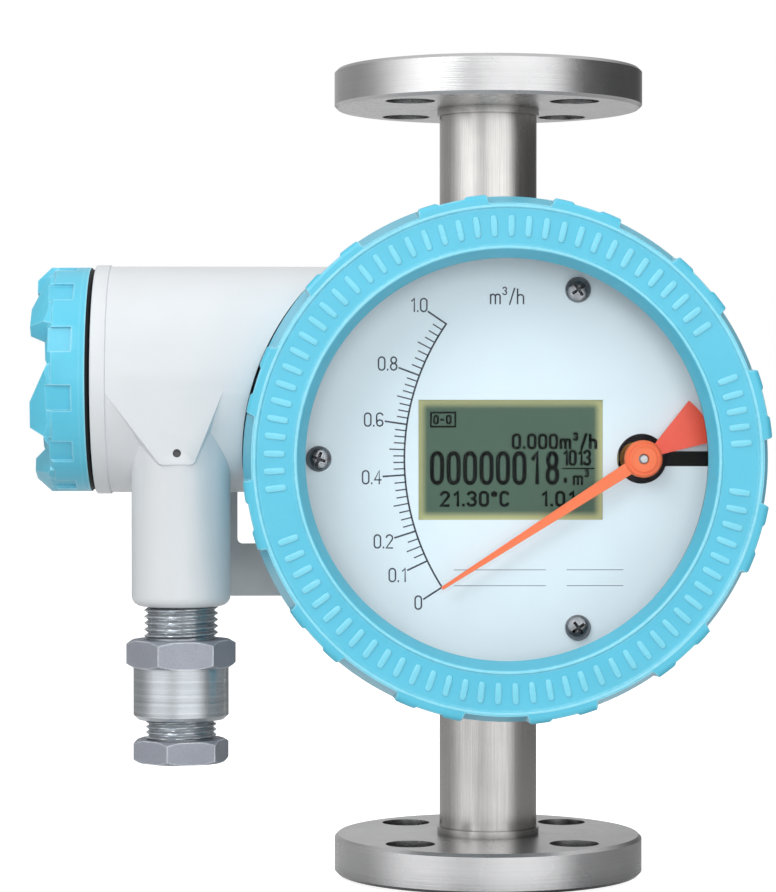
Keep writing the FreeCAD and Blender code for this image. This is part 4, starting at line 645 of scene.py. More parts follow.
def lathe(profile, centre, along, across, steps=128, shape=None, first_deg=0.0):
    """Turn a closed outline of (radius, station) about an axis; shape bends the radius."""
    side = along.cross(across)
    vertices, faces = [], []
    for k in range(steps):
        angle = math.radians(first_deg) + 2 * math.pi * k / steps
        out = across * math.cos(angle) + side * math.sin(angle)
        for r, s in profile:
            radius = shape(r, s, angle) if shape else r
            vertices.append(centre + out * radius + along * s)
    n = len(profile)
    for k in range(steps):
        nxt = (k + 1) % steps
        for i in range(n):
            j = (i + 1) % n
            faces.append((k * n + i, k * n + j, nxt * n + j, nxt * n + i))
    return vertices, faces


X, Y, Z = Vector((1, 0, 0)), Vector((0, 1, 0)), Vector((0, 0, 1))
print("lathe ready")


# %%
# Soft copies of solids
NEAR_FACE, PAST_END = 0.15, 0.1
JOIN_DISTANCE, FLAT_DEG = 2e-6, 0.4


def sink(work, centre, axis, radius, low, high, depth):
    """Set a round face of a mesh back from its radius, where a thread will cover it."""
    for vertex in work.verts:
        arm = vertex.co / MM - centre
        along = arm.dot(axis)
        out = arm - axis * along
        in_reach = low - PAST_END < along < high + PAST_END
        if in_reach and abs(out.length - radius) < NEAR_FACE:
            vertex.co = (centre + axis * along + out.normalized() * (radius - depth)) * MM


def softened(node, name, width, angle_deg=30.0, segments=2, sunk=None):
    """A copy of a solid whose sharp edges are rounded, to stand in for it."""
    mesh = nodes[node].data.copy()
    mesh.name = name
    work = bmesh.new()
    work.from_mesh(mesh)
    if sunk:
        sink(work, *sunk)
    bmesh.ops.remove_doubles(work, verts=work.verts, dist=JOIN_DISTANCE)
    bmesh.ops.dissolve_limit(work, angle_limit=math.radians(FLAT_DEG), verts=work.verts,
                             edges=work.edges)
    limit = math.radians(angle_deg)
    edges = [e for e in work.edges if e.is_manifold and e.calc_face_angle() > limit]
    bmesh.ops.bevel(work, geom=edges, offset=width * MM, segments=segments, profile=0.5,
                    affect="EDGES", clamp_overlap=True)
    bmesh.ops.triangulate(work, faces=[f for f in work.faces if len(f.verts) > 4])
    work.to_mesh(mesh)
    work.free()
    piece = bpy.data.objects.new(name, mesh)
    scene.collection.objects.link(piece)
    finish_piece(piece, node, materials[slot_of[node]], (node,), 40.0)


print("soft copy tool ready")

# %% [markdown]
# ## Front cover
#
# The cover is a painted cast ring that is screwed onto the housing and holds the window. Hands
# turn it by the recesses about its rim: wide ones that run out towards the back, and narrow
# ones along the whole rim. They could be cut out one by one. Here one outline is turned instead
# and the rim's radius drops where a recess is, which keeps soft flanks and even faces.

# %%
# Front cover ring
DIAL = Vector((0, 0, 130))
COVER_R = 73.5
RIM_INNER_R = 70.5
COVER_FACE_Y = -103.55
COVER_RIB_Y = -104.0
COVER_LIP = 0.3
LIP_Y = COVER_FACE_Y - COVER_LIP
RECESS_PITCH_DEG = 30
RECESS_FLANK_DEG = 0.55
WIDE_DEG, WIDE_WIDTH_DEG, WIDE_DEPTH = 27.3, 14.5, 2.6
WIDE_END_Y = -92.0
NARROW = (42.5, 6.2, 0.65)
COVER_SIDES, LIP_SIDES = 1080, 360


def recess(angle, y):
    """Depth of the rim's recesses at an angle; the wide ones fade out away from the front."""
    degrees = math.degrees(angle)
    fade = max(0.0, (WIDE_END_Y - y) / (WIDE_END_Y - COVER_RIB_Y))
    half = RECESS_PITCH_DEG / 2
    depth = 0.0
    for centre, width, full in ((WIDE_DEG, WIDE_WIDTH_DEG, WIDE_DEPTH * fade), NARROW):
        off = abs((degrees - centre + half) % RECESS_PITCH_DEG - half)
        flank = (width / 2 - off) / RECESS_FLANK_DEG + 0.5
        flank = min(1.0, max(0.0, flank))
        depth = max(depth, full * flank * flank * (3 - 2 * flank))
    return depth


cover_outline = rounded([
    (56.0, -98.5, 0.15), (58.3, LIP_Y, 0.25), (59.2, LIP_Y, 0.25), (59.5, COVER_FACE_Y, 0.2),
    (69.4, COVER_FACE_Y, 0.2), (69.7, LIP_Y, 0.25), (COVER_R, LIP_Y, 2.6),
    (COVER_R, WIDE_END_Y), (COVER_R, -80.0, 0.6), (69.2, -80.0, 0.2), (69.2, -84.5),
    (68.3, -84.5), (68.3, -96.5), (63.7, -96.5), (63.7, -88.0, 0.2), (60.5, -88.0, 0.2),
    (60.5, -98.0), (56.0, -98.0)], 5)
vertices, faces = lathe(
    cover_outline, DIAL, Y, X, COVER_SIDES,
    lambda r, s, a: min(r, COVER_R - recess(-a, s)) if r > RIM_INNER_R else r)
as_piece("front_cover_ring", vertices, faces, "front_cover", materials["blue_paint"],
         ("front_cover",))
print("front cover", len(cover_outline), "outline points")

# %% [markdown]
# Raised ribs on the front band give a glove more grip, and two thin lips stand along the band's
# edges. Both get a lighter copy of the blue paint with bright edges, a painted highlight. A bump in
# the material would stay flat from the side, so each rib is a small pillow: four closed rings that
# shrink towards its top.


# %%
# Grip ribs of the front cover
RIB_INNER, RIB_OUTER, RIB_WIDTH, RIB_PITCH_DEG = 61.6, 67.6, 1.9, 4.2
RIB_ARCS_DEG = [(34, 187), (200, 352), (4, 20)]
RIB_POINTS = 20
RIB_SQUARE_LONG, RIB_SQUARE_WIDE = 0.4, 0.6
RIB_RINGS = [(1.0, COVER_FACE_Y + 0.05), (0.97, COVER_FACE_Y - 0.22), (0.86, COVER_RIB_Y + 0.07),
             (0.68, COVER_RIB_Y)]


def squared(value, power):
    """A sine or cosine pulled towards 1 or -1, which turns an ellipse into a rounded bar."""
    return math.copysign(abs(value) ** power, value)


def add_rib(vertices, faces, angle):
    out = Vector((math.cos(angle), 0, math.sin(angle)))
    side = Vector((-math.sin(angle), 0, math.cos(angle)))
    middle, half = (RIB_INNER + RIB_OUTER) / 2, (RIB_OUTER - RIB_INNER) / 2
    first = len(vertices)
    for size, y in RIB_RINGS:
        for i in range(RIB_POINTS):
            a = 2 * math.pi * i / RIB_POINTS
            u = squared(math.cos(a), RIB_SQUARE_LONG) * (half - (1 - size))
            w = squared(math.sin(a), RIB_SQUARE_WIDE) * RIB_WIDTH / 2 * size
            point = DIAL + out * (middle + u) + side * w
            vertices.append((point.x, y, point.z))
    for ring in range(len(RIB_RINGS) - 1):
        a, b = first + ring * RIB_POINTS, first + (ring + 1) * RIB_POINTS
        for i in range(RIB_POINTS):
            j = (i + 1) % RIB_POINTS
            faces.append((a + i, a + j, b + j, b + i))
    top = first + (len(RIB_RINGS) - 1) * RIB_POINTS
    faces.append(tuple(top + i for i in range(RIB_POINTS)))


vertices, faces = [], []
for start, end in RIB_ARCS_DEG:
    count = round((end - start) / RIB_PITCH_DEG)
    for k in range(count + 1):
        add_rib(vertices, faces, math.radians(start + (end - start) * k / count))
as_piece("front_cover_ribs", vertices, faces, "front_cover", rubbed_paint, (), 60.0)
print("rib vertices", len(vertices))

# %%
# Lips of the front cover
LIP_TOP_Y = LIP_Y - 0.06
LIP_HEIGHT, LIP_EDGE = 0.4, 0.15
LIP_RADII = ((58.45, 59.15), (69.85, 70.55))
vertices, faces = [], []
for inner, outer in LIP_RADII:
    lip = rounded([(inner, LIP_TOP_Y, LIP_EDGE), (inner, LIP_TOP_Y + LIP_HEIGHT),
                   (outer, LIP_TOP_Y + LIP_HEIGHT), (outer, LIP_TOP_Y, LIP_EDGE)], 3)
    more, sides = lathe(lip, DIAL, Y, X, LIP_SIDES)
    faces += [tuple(i + len(vertices) for i in side) for side in sides]
    vertices += more
as_piece("front_cover_lips", vertices, faces, "front_cover", rubbed_paint, (), 60.0)
print("lips", len(LIP_RADII))

# %% [markdown]
# ## End cap, housing and bracket
#
# Castings have soft edges because sand and paint round them off, and the plate's edges are
# rubbed down. They could be modelled again with every edge rounded. A copy of the solid with a
# bevel on its sharp edges is quicker and keeps each size. Where a thread comes later, on the cap
# and on the housing's neck, the copy's round face is set back to make room for it.

# %%
# Soft-edged copies
THREAD_SUNK = 1.3
CAP_AXIS_AT, CAP_THREAD = Vector((0, -60, 152.7)), (28.3, -117.5, -106.0)
NECK_THREAD = (68.0, -95.0, -83.4)
softened("end_cap", "end_cap_soft", 0.7, segments=3,
         sunk=(CAP_AXIS_AT, X, *CAP_THREAD, THREAD_SUNK))
softened("indicator_housing", "indicator_housing_soft", 0.8, segments=3,
         sunk=(DIAL, Y, *NECK_THREAD, THREAD_SUNK))
PLAIN_COPIES = [("mounting_bracket", 0.3), ("terminal_block", 0.3), ("display_frame", 0.25),
                ("lower_saddle", 0.4), ("upper_saddle", 0.4)]
for node, width in PLAIN_COPIES:
    softened(node, node + "_soft", width)
print("soft copies", 2 + len(PLAIN_COPIES))

# %% [markdown]
# ## Screw threads and hexagons
#
# A thread is a groove that climbs by one pitch in each turn. It could be swept along a helix, but
# that leaves awkward ends. On a lathe whose radius knows both the angle and the height, one
# formula makes it: how far the turn has come decides how deep the groove is. A hexagon is a
# radius that depends on the angle alone, and a cone turns its corners off at both ends, so each
# flat ends in a curved edge, as on a real nut.


# %%
# Radii of threads and hexagons
THREAD_FLAT = 0.08
CORNER_ROOM = 0.25


def thread(radius, pitch, depth, z, angle):
    """Radius of a screw thread with slightly flat crests and roots."""
    turn = (z / pitch - angle / (2 * math.pi)) % 1.0
    wave = abs(2 * turn - 1)
    wave = min(1.0, max(0.0, (wave - THREAD_FLAT) / (1 - 2 * THREAD_FLAT)))
    return radius - depth * wave


def hexagon(across, turn_deg, angle):
    """Radius of a hexagon of this width across its flats."""
    off = (math.degrees(angle) - turn_deg) % 60 - 30
    return across / 2 / math.cos(math.radians(off))


def turned_hexagon(across, turn_deg, low, high, z, angle):
    """The hexagon, cut back by a cone near both its ends."""
    from_end = min(z - low, high - z)
    cone = across / 2 + CORNER_ROOM + from_end * math.sqrt(3)
    return min(hexagon(across, turn_deg, angle), cone)


def steps_between(low, high, step):
    count = max(1, round(abs(high - low) / step))
    return [low + (high - low) * k / count for k in range(count + 1)]


print("corner of a 27 mm hexagon", round(hexagon(27.0, 0.0, 0.0), 2))

# %% [markdown]
# ## Cable gland
#
# The gland is turned from hexagonal bar and zinc plated. Its body screws into the housing's
# boss, and its nut squeezes a rubber ring onto the cable. Lathe work leaves the threads and
# barrels bright, while the flats keep the satin skin of the bar, so body and nut are two pieces
# each. In the outlines, a radius of ON_THREAD or ON_FLAT stands for the formula that gives the
# real one.


# %%
# Gland body and nut
GLAND = Vector((-91.4, -78.0, 0))
ON_THREAD, ON_FLAT = -1.0, 101.0
STEM_R, STEM_PITCH, STEM_DEPTH = 10.48, 1.814, 1.1
NUT_R, NUT_PITCH, NUT_DEPTH = 10.0, 1.5, 0.9
BODY_TURN_DEG, NUT_TURN_DEG = 8.0, 16.0
BODY_ACROSS, NUT_ACROSS = 27.0, 24.0
CORNER_HEIGHT, CORNER_STEP = 1.4, 0.1
GLAND_SIDES = 192
STEM_STEP, NUT_STEP = 0.13, 0.12


def hexagon_ring(name, node, across, turn_deg, low, high, inner):
    """A ring with six turned flats, satin as the bar it was cut from."""
    outline = [(inner, high), (inner, low)]
    outline += [(ON_FLAT, z) for z in steps_between(low, low + CORNER_HEIGHT, CORNER_STEP)]
    outline += [(ON_FLAT, z) for z in steps_between(high - CORNER_HEIGHT, high, CORNER_STEP)]

    def shape(r, z, angle):
        return turned_hexagon(across, turn_deg, low, high, z, angle) if r == ON_FLAT else r

    vertices, faces = lathe(outline, GLAND, Z, X, GLAND_SIDES, shape, turn_deg)
    as_piece(name, vertices, faces, node, satin_zinc, (), 30.0)


def threaded(name, node, outline, radius, pitch, depth, turn_deg):
    """A turned piece of the gland; its outline is on the thread where its radius says so."""
    def shape(r, z, angle):
        return thread(radius, pitch, depth, z, angle) if r == ON_THREAD else r

    vertices, faces = lathe(outline, GLAND, Z, X, GLAND_SIDES, shape, turn_deg)
    as_piece(name, vertices, faces, node, materials["zinc_plate"], (node,), 30.0)


body_outline = [(STEM_R, 102.3), (6.5, 102.3), (6.5, 69.2), (10.3, 69.2), (10.3, 56.3)]
body_outline += [(12.3, 56.3), (13.5, 57.5), (13.5, 71.1), (9.3, 71.2), (9.3, 79.4)]
body_outline += [(ON_THREAD, z) for z in steps_between(79.4, 88.2, STEM_STEP)]
body_outline += [(STEM_R, 88.4)]
threaded("gland_body_turned", "gland_body", body_outline, STEM_R, STEM_PITCH, STEM_DEPTH,
         BODY_TURN_DEG)
hexagon_ring("gland_body_hexagon", "gland_body", BODY_ACROSS, BODY_TURN_DEG, 71.0, 78.8, 8.8)

nut_outline = [(5.2, 61.8), (5.6, 44.2), (5.9, 44.2), (9.0, 44.4), (9.0, 51.1)]
nut_outline += [(ON_THREAD, z) for z in steps_between(51.1, 60.9, NUT_STEP)] + [(9.2, 61.8)]
threaded("gland_nut_turned", "gland_nut", nut_outline, NUT_R, NUT_PITCH, NUT_DEPTH, NUT_TURN_DEG)
hexagon_ring("gland_nut_hexagon", "gland_nut", NUT_ACROSS, NUT_TURN_DEG, 44.1, 50.6, 5.8)
print("gland outline points", len(body_outline), len(nut_outline))

# %% [markdown]
# ## Threads of the end cap and the neck
#
# Both covers are screwed on with a thread of two millimetres' pitch, cut bare into the painted
# castings. Each thread is its own piece of bright alloy in the room left by the soft copies, so
# paint and cut metal meet in a sharp line. Its first and last turns run out into the root, as
# where a cutting tool enters and leaves.


# %%
# Threads of the end cap and of the housing's neck
COVER_PITCH, COVER_DEPTH = 2.0, 1.1
COVER_STEP, THREAD_SIDES = 0.18, 240
CAP_BORE_R, NECK_BORE_R = 26.0, 65.5


def male_thread(name, node, centre, along, across, size, inner):
    """A screw thread on a tube end, with its first and last turns running out."""
    crest, low, high = size
    outline = [(inner, high), (inner, low)]
    outline += [(crest, s) for s in steps_between(low, high, COVER_STEP)]

    def shape(r, s, angle):
        if r < crest:
            return r
        run_out = crest - COVER_DEPTH + min(s - low, high - s)
        return min(thread(crest, COVER_PITCH, COVER_DEPTH, s, angle), run_out)

    vertices, faces = lathe(outline, centre, along, across, THREAD_SIDES, shape)
    as_piece(name, vertices, faces, node, cut_alloy, (), 30.0)


male_thread("end_cap_thread", "end_cap", CAP_AXIS_AT, X, Y, CAP_THREAD, CAP_BORE_R)
male_thread("neck_thread", "indicator_housing", DIAL, Y, X, NECK_THREAD, NECK_BORE_R)
print("thread pitch", COVER_PITCH)

# %% [markdown]
# ## Weld beads
#
# The tube is welded into each flange, and the weld pool freezes in overlapping ripples. A
# modelled ring of scales would be heavy, and a bump would leave the outline smooth. A half round
# section is turned about the tube instead, and its radius swings a little as it goes round.


# %%
# Weld beads round the tube
BEAD_ROOT_R, BEAD_PROUD, BEAD_HALF = 14.6, 1.05, 1.15
BEAD_BACK_R = 14.0
BEAD_RIPPLES, BEAD_RIPPLE, BEAD_SIDES = 42, 0.04, 504
BEAD_SWAYS, BEAD_SWAY, BEAD_LEAN = 5, 0.4, 0.9
BEAD_STEPS = 8
LOWER_BEAD_Z, UPPER_BEAD_Z = 12.95, 237.05


def bead(name, z, up):
    section = []
    for k in range(BEAD_STEPS + 1):
        a = math.pi * k / BEAD_STEPS
        section.append((BEAD_ROOT_R + BEAD_PROUD * math.sin(a),
                        z + up * (BEAD_HALF - BEAD_HALF * math.cos(a))))
    section.append((BEAD_BACK_R, z + up * BEAD_HALF))

    def ripple(r, s, angle):
        if r < BEAD_ROOT_R + 0.1:
            return r
        sway = BEAD_SWAY * math.sin(angle * BEAD_SWAYS) + (s - z) * up * BEAD_LEAN
        wave = abs(math.sin(angle * BEAD_RIPPLES + sway))
        return r + BEAD_RIPPLE * wave - BEAD_RIPPLE / 2

    vertices, faces = lathe(section, Vector((0, 0, 0)), Z, X, BEAD_SIDES, ripple)
    as_piece(name, vertices, faces, "measuring_tube", bead_steel, (), 80.0)


bead("lower_weld_bead", LOWER_BEAD_Z, 1)
bead("upper_weld_bead", UPPER_BEAD_Z, -1)
print("ripples in a bead", 2 * BEAD_RIPPLES)

# %% [markdown]
# ## Print on the dial
#
# The scale is printed on the white plate in thin dark lines. An image would do, but it blurs when
# seen from close by. Here each figure is a few strokes in a box one unit high, and a stroke is a
# flat band of one width. The same figures, with a heavier stroke, make the display's digits.


# %%
# Stroke figures and ribbons
def bow(cx, cy, rx, ry, start, end, count=8):
    """Points along an elliptic arc, angles in degrees, anticlockwise from the right."""
    angles = [math.radians(start + (end - start) * k / count) for k in range(count + 1)]
    return [(cx + rx * math.cos(a), cy + ry * math.sin(a)) for a in angles]


R = 0.24
FIGURES = {
    "0": [bow(R, 1 - R, R, R, 0, 180) + bow(R, R, R, R, 180, 360) + [(2 * R, 1 - R)]],
    "1": [[(0.10, 0.80), (0.30, 1.0), (0.30, 0.0)]],
    "2": [bow(R, 1 - R, R, R, 170, -30) + [(0.0, 0.0), (0.48, 0.0)]],
    "3": [bow(0.22, 0.76, 0.24, 0.24, 160, -80) + bow(0.22, 0.26, 0.26, 0.26, 80, -160)],
    "4": [[(0.36, 0.0), (0.36, 1.0), (0.0, 0.30), (0.50, 0.30)]],
    "5": [[(0.46, 1.0), (0.06, 1.0), (0.04, 0.56)] + bow(0.22, 0.31, 0.26, 0.31, 100, -160)],
    "6": [bow(R, 1 - R, R, R, 20, 180) + bow(R, R, R, R, 180, 540)],
    "7": [[(0.0, 1.0), (0.48, 1.0), (0.16, 0.0)]],
    "8": [bow(R, 0.76, 0.21, 0.24, -90, 270, 14), bow(R, 0.26, 0.24, 0.26, 90, 450, 14)],
    "9": [bow(R, 1 - R, R, R, 0, 360, 14) + bow(R, R, R, R, 0, -160)],
    ".": [[(0.02, 0.0), (0.02, 0.07)]],
    "/": [[(0.0, -0.05), (0.34, 1.05)]],
    "m": [[(0.0, 0.0), (0.0, 0.62)], bow(0.16, 0.50, 0.16, 0.14, 180, 0) + [(0.32, 0.0)],
          bow(0.48, 0.50, 0.16, 0.14, 180, 0) + [(0.64, 0.0)]],
    "h": [[(0.0, 0.0), (0.0, 1.0)], bow(0.20, 0.44, 0.20, 0.18, 180, 0) + [(0.40, 0.0)]],
    "C": [bow(R, 1 - R, R, R, 20, 180) + bow(R, R, R, R, 180, 340)],
    "o": [bow(0.13, 0.86, 0.12, 0.12, 0, 360, 10)],
    "-": [[(0.04, 0.48), (0.40, 0.48)]],
}
WIDTHS = {".": 0.04, "/": 0.34, "m": 0.64, "h": 0.40, "o": 0.26, "1": 0.34}
print("figures", len(FIGURES))

# %%
# Bands of print
MITRE_MOST, MITRE_LEAST_COS = 1.6, 0.3
END_SHARE = 0.6
SMALL_SIZE, SMALL_RISE, SMALL_STROKE = 0.5, 0.62, 0.8
FIGURE_WIDE = 0.48


class Print:
    """Collects flat bands on a plane that faces the front."""

    def __init__(self, y, high=0.03):
        self.y = y
        self.high = high
        self.vertices = []
        self.faces = []

    def band(self, points, width):
        """A flat band of one width along points that are given as (x, rise above the centre)."""
        half = width / 2
        points = [Vector(p) for p in points]
        closed = (points[0] - points[-1]).length < 1e-6
        if closed:
            points = points[:-1]
        count = len(points)
        first = len(self.vertices)
        for i, here in enumerate(points):
            ahead = points[(i + 1) % count] - here if closed or i < count - 1 else None
            back = here - points[i - 1] if closed or i > 0 else None
            ahead = ahead or back
            back = back or ahead
            ahead, back = ahead.normalized(), back.normalized()
            way = ahead + back
            way = way.normalized() if way.length > 1e-6 else ahead
            normal = Vector((-way.y, way.x))
            stretch = min(MITRE_MOST, 1 / max(MITRE_LEAST_COS, way.dot(ahead)))
            extend = Vector((0, 0))
            if not closed and i == 0:
                extend = -ahead * half * END_SHARE
            if not closed and i == count - 1:
                extend = back * half * END_SHARE
            for sign in (1, -1):
                spot = here + extend + normal * (sign * half * stretch)
                self.vertices.append((spot.x, self.y, DIAL.z + spot.y))
                self.vertices.append((spot.x, self.y + self.high, DIAL.z + spot.y))
        spans = count if closed else count - 1
        for i in range(spans):
            a, b = first + 4 * i, first + 4 * ((i + 1) % count)
            self.faces.append((a, a + 2, b + 2, b))
            self.faces.append((a, b, b + 1, a + 1))
            self.faces.append((a + 2, a + 3, b + 3, b + 2))

    def text(self, words, x, y, height, stroke, pitch=None, gap=0.26, squeeze=1.0):
        """Words from their left foot; a pitch sets every figure the same distance apart."""
        for mark in words:
            small = mark == "³"
            figure = "3" if small else mark
            size = height * (SMALL_SIZE if small else 1.0)
            lift = height * SMALL_RISE if small else 0.0
            for line in FIGURES.get(figure, []):
                self.band([(x + px * size * squeeze, y + lift + py * size) for px, py in line],
                          stroke * (SMALL_STROKE if small else 1.0))
            wide = WIDTHS.get(figure, FIGURE_WIDE) * size * squeeze
            x += pitch if pitch else wide + gap * height

    def measure(self, words, height, gap=0.26):
        """How wide the words come out."""
        total = 0
        for mark in words:
            size = height * (SMALL_SIZE if mark == "³" else 1.0)
            total += WIDTHS.get(mark, FIGURE_WIDE) * size + gap * height
        return total - gap * height

    def piece(self, name, node, material):
        as_piece(name, self.vertices, self.faces, node, material, (), 20.0)


print("m³/h is", round(Print(0).measure("m³/h", 4.2), 2), "mm wide")

# %% [markdown]
# The scale runs on an arc about the pointer's pivot. Its figures are not evenly spaced, because
# the flow is not quite in proportion to the float's height. Their angles are therefore a list,
# and the short lines between two figures are spread evenly by a loop. Four thin rules mark the
# fields where such a meter's data are entered.

# %%
# Scale, figures and unit on the dial
PIVOT_X = 39.3
SCALE_R = 67.4
SCALE = [(0.0, -32.7), (0.1, -25.4), (0.2, -17.7), (0.4, -3.9), (0.6, 8.3), (0.8, 20.5),
         (1.0, 34.5)]
DIVISIONS = [1, 4, 8, 8, 8, 8]
DIAL_PRINT_Y = -80.03
ARC_STROKE, MAIN_STROKE, SHORT_STROKE, RULE_STROKE = 0.5, 0.48, 0.36, 0.16
MAIN_LONG, HALF_LONG, SHORT_LONG = 6.2, 4.2, 3.0
FIGURE_HIGH, UNIT_HIGH, TEXT_STROKE, TEXT_GAP = 3.7, 4.2, 0.42, 0.2
FIGURE_OUT, FIGURE_LEAN = 6.8, 0.6
UNIT_X, UNIT_RISE = 1.0, 43.9
ARC_STEPS = 72


def on_scale(radius, degrees):
    """A point left of the pivot, its angle counted upwards from level."""
    a = math.radians(degrees)
    return (PIVOT_X - radius * math.cos(a), radius * math.sin(a))


dial_print = Print(DIAL_PRINT_Y)
low_deg, high_deg = SCALE[0][1], SCALE[-1][1]
arc = [on_scale(SCALE_R, low_deg + (high_deg - low_deg) * k / ARC_STEPS)
       for k in range(ARC_STEPS + 1)]
dial_print.band(arc, ARC_STROKE)
for (value, degrees), divisions, following in zip(SCALE, DIVISIONS + [0], SCALE[1:] + [None]):
    dial_print.band([on_scale(SCALE_R, degrees), on_scale(SCALE_R + MAIN_LONG, degrees)],
                    MAIN_STROKE)
    for k in range(1, divisions):
        at = degrees + (following[1] - degrees) * k / divisions
        long = HALF_LONG if 2 * k == divisions else SHORT_LONG
        dial_print.band([on_scale(SCALE_R, at), on_scale(SCALE_R + long, at)], SHORT_STROKE)
    words = "0" if value == 0 else f"{value:.1f}"
    wide = dial_print.measure(words, FIGURE_HIGH, TEXT_GAP)
    lean = FIGURE_LEAN * abs(math.sin(math.radians(degrees)))
    x, y = on_scale(SCALE_R + FIGURE_OUT + wide / 2 + lean, degrees)
    dial_print.text(words, x - wide / 2, y - FIGURE_HIGH / 2, FIGURE_HIGH, TEXT_STROKE,
                    gap=TEXT_GAP)
wide = dial_print.measure("m³/h", UNIT_HIGH, TEXT_GAP)
dial_print.text("m³/h", UNIT_X - wide / 2, UNIT_RISE, UNIT_HIGH, TEXT_STROKE, gap=TEXT_GAP)
FIELD_RULES = [(-14.0, 12.0, -31.5), (-14.0, 12.0, -36.0), (18.0, 34.0, -31.5), (18.0, 34.0, -36.0)]
for x0, x1, rise in FIELD_RULES:
    dial_print.band([(x0, rise), (x1, rise)], RULE_STROKE)
dial_print.piece("dial_print", "dial_plate", ink)
print("bands of the scale", len(dial_print.faces))

# %% [markdown]
# The pointer's hub has a raised ring round its shaft, turned like everything round here. Behind
# the keyhole's slot in the dial, the inside of the housing lies in shade. Light from the studio would
# reach in and show it grey, so a small black plate closes the slot from behind: painted shade.

# %%
# Hub ring and slot shade
HUB_FRONT_Y, HUB_SIDES = -85.8, 96
PIVOT = Vector((PIVOT_X, 0, DIAL.z))
hub_ring = [(3.3, HUB_FRONT_Y + 0.05), (3.4, HUB_FRONT_Y - 0.16), (3.6, HUB_FRONT_Y - 0.2),
            (3.8, HUB_FRONT_Y - 0.16), (4.0, HUB_FRONT_Y + 0.05)]
vertices, faces = lathe(hub_ring, PIVOT, Y, X, HUB_SIDES)
as_piece("pointer_hub_ring", vertices, faces, "pointer_needle", materials["pointer_orange"],
         (), 40.0)

SHADE_FRONT_Y, SHADE_BACK_Y = -78.9, -78.5
SHADE_LEFT, SHADE_RIGHT, SHADE_HALF, SHADE_CORNER = 47.5, 60.3, 4.0, 1.0
corners = [(SHADE_LEFT, -SHADE_HALF), (SHADE_RIGHT, -SHADE_HALF), (SHADE_RIGHT, SHADE_HALF),
           (SHADE_LEFT, SHADE_HALF)]
shade = rounded([(x, z, SHADE_CORNER) for x, z in corners], 5)
count = len(shade)
vertices = [(x, y, DIAL.z + z) for y in (SHADE_FRONT_Y, SHADE_BACK_Y) for x, z in shade]
faces = [tuple(range(count)), tuple(range(2 * count - 1, count - 1, -1))]
faces += [(i, (i + 1) % count, count + (i + 1) % count, count + i) for i in range(count)]
# The black plate is painted shade, in the display's ink.
as_piece("slot_shade", vertices, faces, "dial_plate", display_ink)
print("hub ring and shade", len(hub_ring), count)

# %% [markdown]
# The display shows its counts in plain dark segments: the total in tall narrow figures, the flow
# and its unit above, temperature and one more value below, and a small state icon. They are bands
# again, placed from the panel's left and top edges, with a pitch that keeps the tall figures in
# step.

# %%
# Digits of the display
LCD_LEFT, LCD_TOP = -24.1, 16.7
LCD_PRINT_Y, LCD_PRINT_HIGH = -78.63, 0.02
display = Print(LCD_PRINT_Y, LCD_PRINT_HIGH)


def display_text(words, left, top, height, stroke, **options):
    display.text(words, LCD_LEFT + left, LCD_TOP - top - height, height, stroke, **options)


def display_band(points, stroke):
    display.band([(LCD_LEFT + x, LCD_TOP - y) for x, y in points], stroke)


display_text("00000018", 3.9, 15.1, 8.5, 1.25, pitch=4.68, squeeze=0.70)
display_text("0.000m³/h", 26.9, 9.9, 3.8, 0.86, gap=0.30, squeeze=1.06)
display_text("1013", 41.2, 14.5, 3.9, 0.80, gap=0.18, squeeze=0.86)
display_band([(41.0, 19.5), (50.0, 19.5)], 0.4)
display_band([(41.8, 23.3), (41.8, 22.4)], 1.0)
display_text("m³", 44.2, 20.4, 3.6, 0.7)
display_text("21.30oC", 6.5, 26.2, 3.8, 0.84, gap=0.34, squeeze=1.16)
display_text("1.01", 35.0, 26.2, 3.8, 0.84, gap=0.34, squeeze=1.16)
display_band([(3.6, 3.6), (10.5, 3.6), (10.5, 7.6), (3.6, 7.6), (3.6, 3.6)], 0.55)
display_text("0-0", 4.5, 4.5, 2.2, 0.62, gap=0.34)
display.piece("display_digits", "display_glass", display_ink)
print("faces of the digits", len(display.faces))

# %% [markdown]
# ## Studio
#
# The meter stands on a white table in a white studio. A real floor would come out grey away
# from the lamps and would show its far edge. This one is matt for light, so it still takes a soft
# shadow, but glows for the camera, and is mostly left out of what metal mirrors.

# %%
# Floor
FLOOR_HALF = 6.0
FLOOR_GREY = (0.6, 0.6, 0.6, 1)
FLOOR_LIFT = 0.9
FLOOR_MIRRORED = 0.3


def studio_floor():
    """A matt floor; the camera sees it white but for the shadow, and metal sees it faintly."""
    mesh = bpy.data.meshes.new("studio_floor")
    half = FLOOR_HALF
    mesh.from_pydata([(-half, -half, 0), (half, -half, 0), (half, half, 0), (-half, half, 0)], [],
                     [(0, 1, 2, 3)])
    floor = bpy.data.objects.new("studio_floor", mesh)
    scene.collection.objects.link(floor)
    material, tree = empty_material("studio floor")
    add, maths, _ = tree_tools(tree)
    matt = add("ShaderNodeBsdfDiffuse", {"Color": FLOOR_GREY})
    ray = add("ShaderNodeLightPath").outputs
    glow = maths("MULTIPLY", ray["Is Camera Ray"], FLOOR_LIFT)
    lift = add("ShaderNodeEmission", {"Strength": glow})
    both = add("ShaderNodeAddShader", {0: matt.outputs[0], 1: lift.outputs[0]})
    clear = add("ShaderNodeBsdfTransparent")
    vanish = maths("MULTIPLY", ray["Is Glossy Ray"], 1.0 - FLOOR_MIRRORED)
    mixed = add("ShaderNodeMixShader", {0: vanish, 1: both.outputs[0], 2: clear.outputs[0]})
    add("ShaderNodeOutputMaterial", {0: mixed.outputs[0]})
    floor.data.materials.append(material)


studio_floor()
print("floor made")

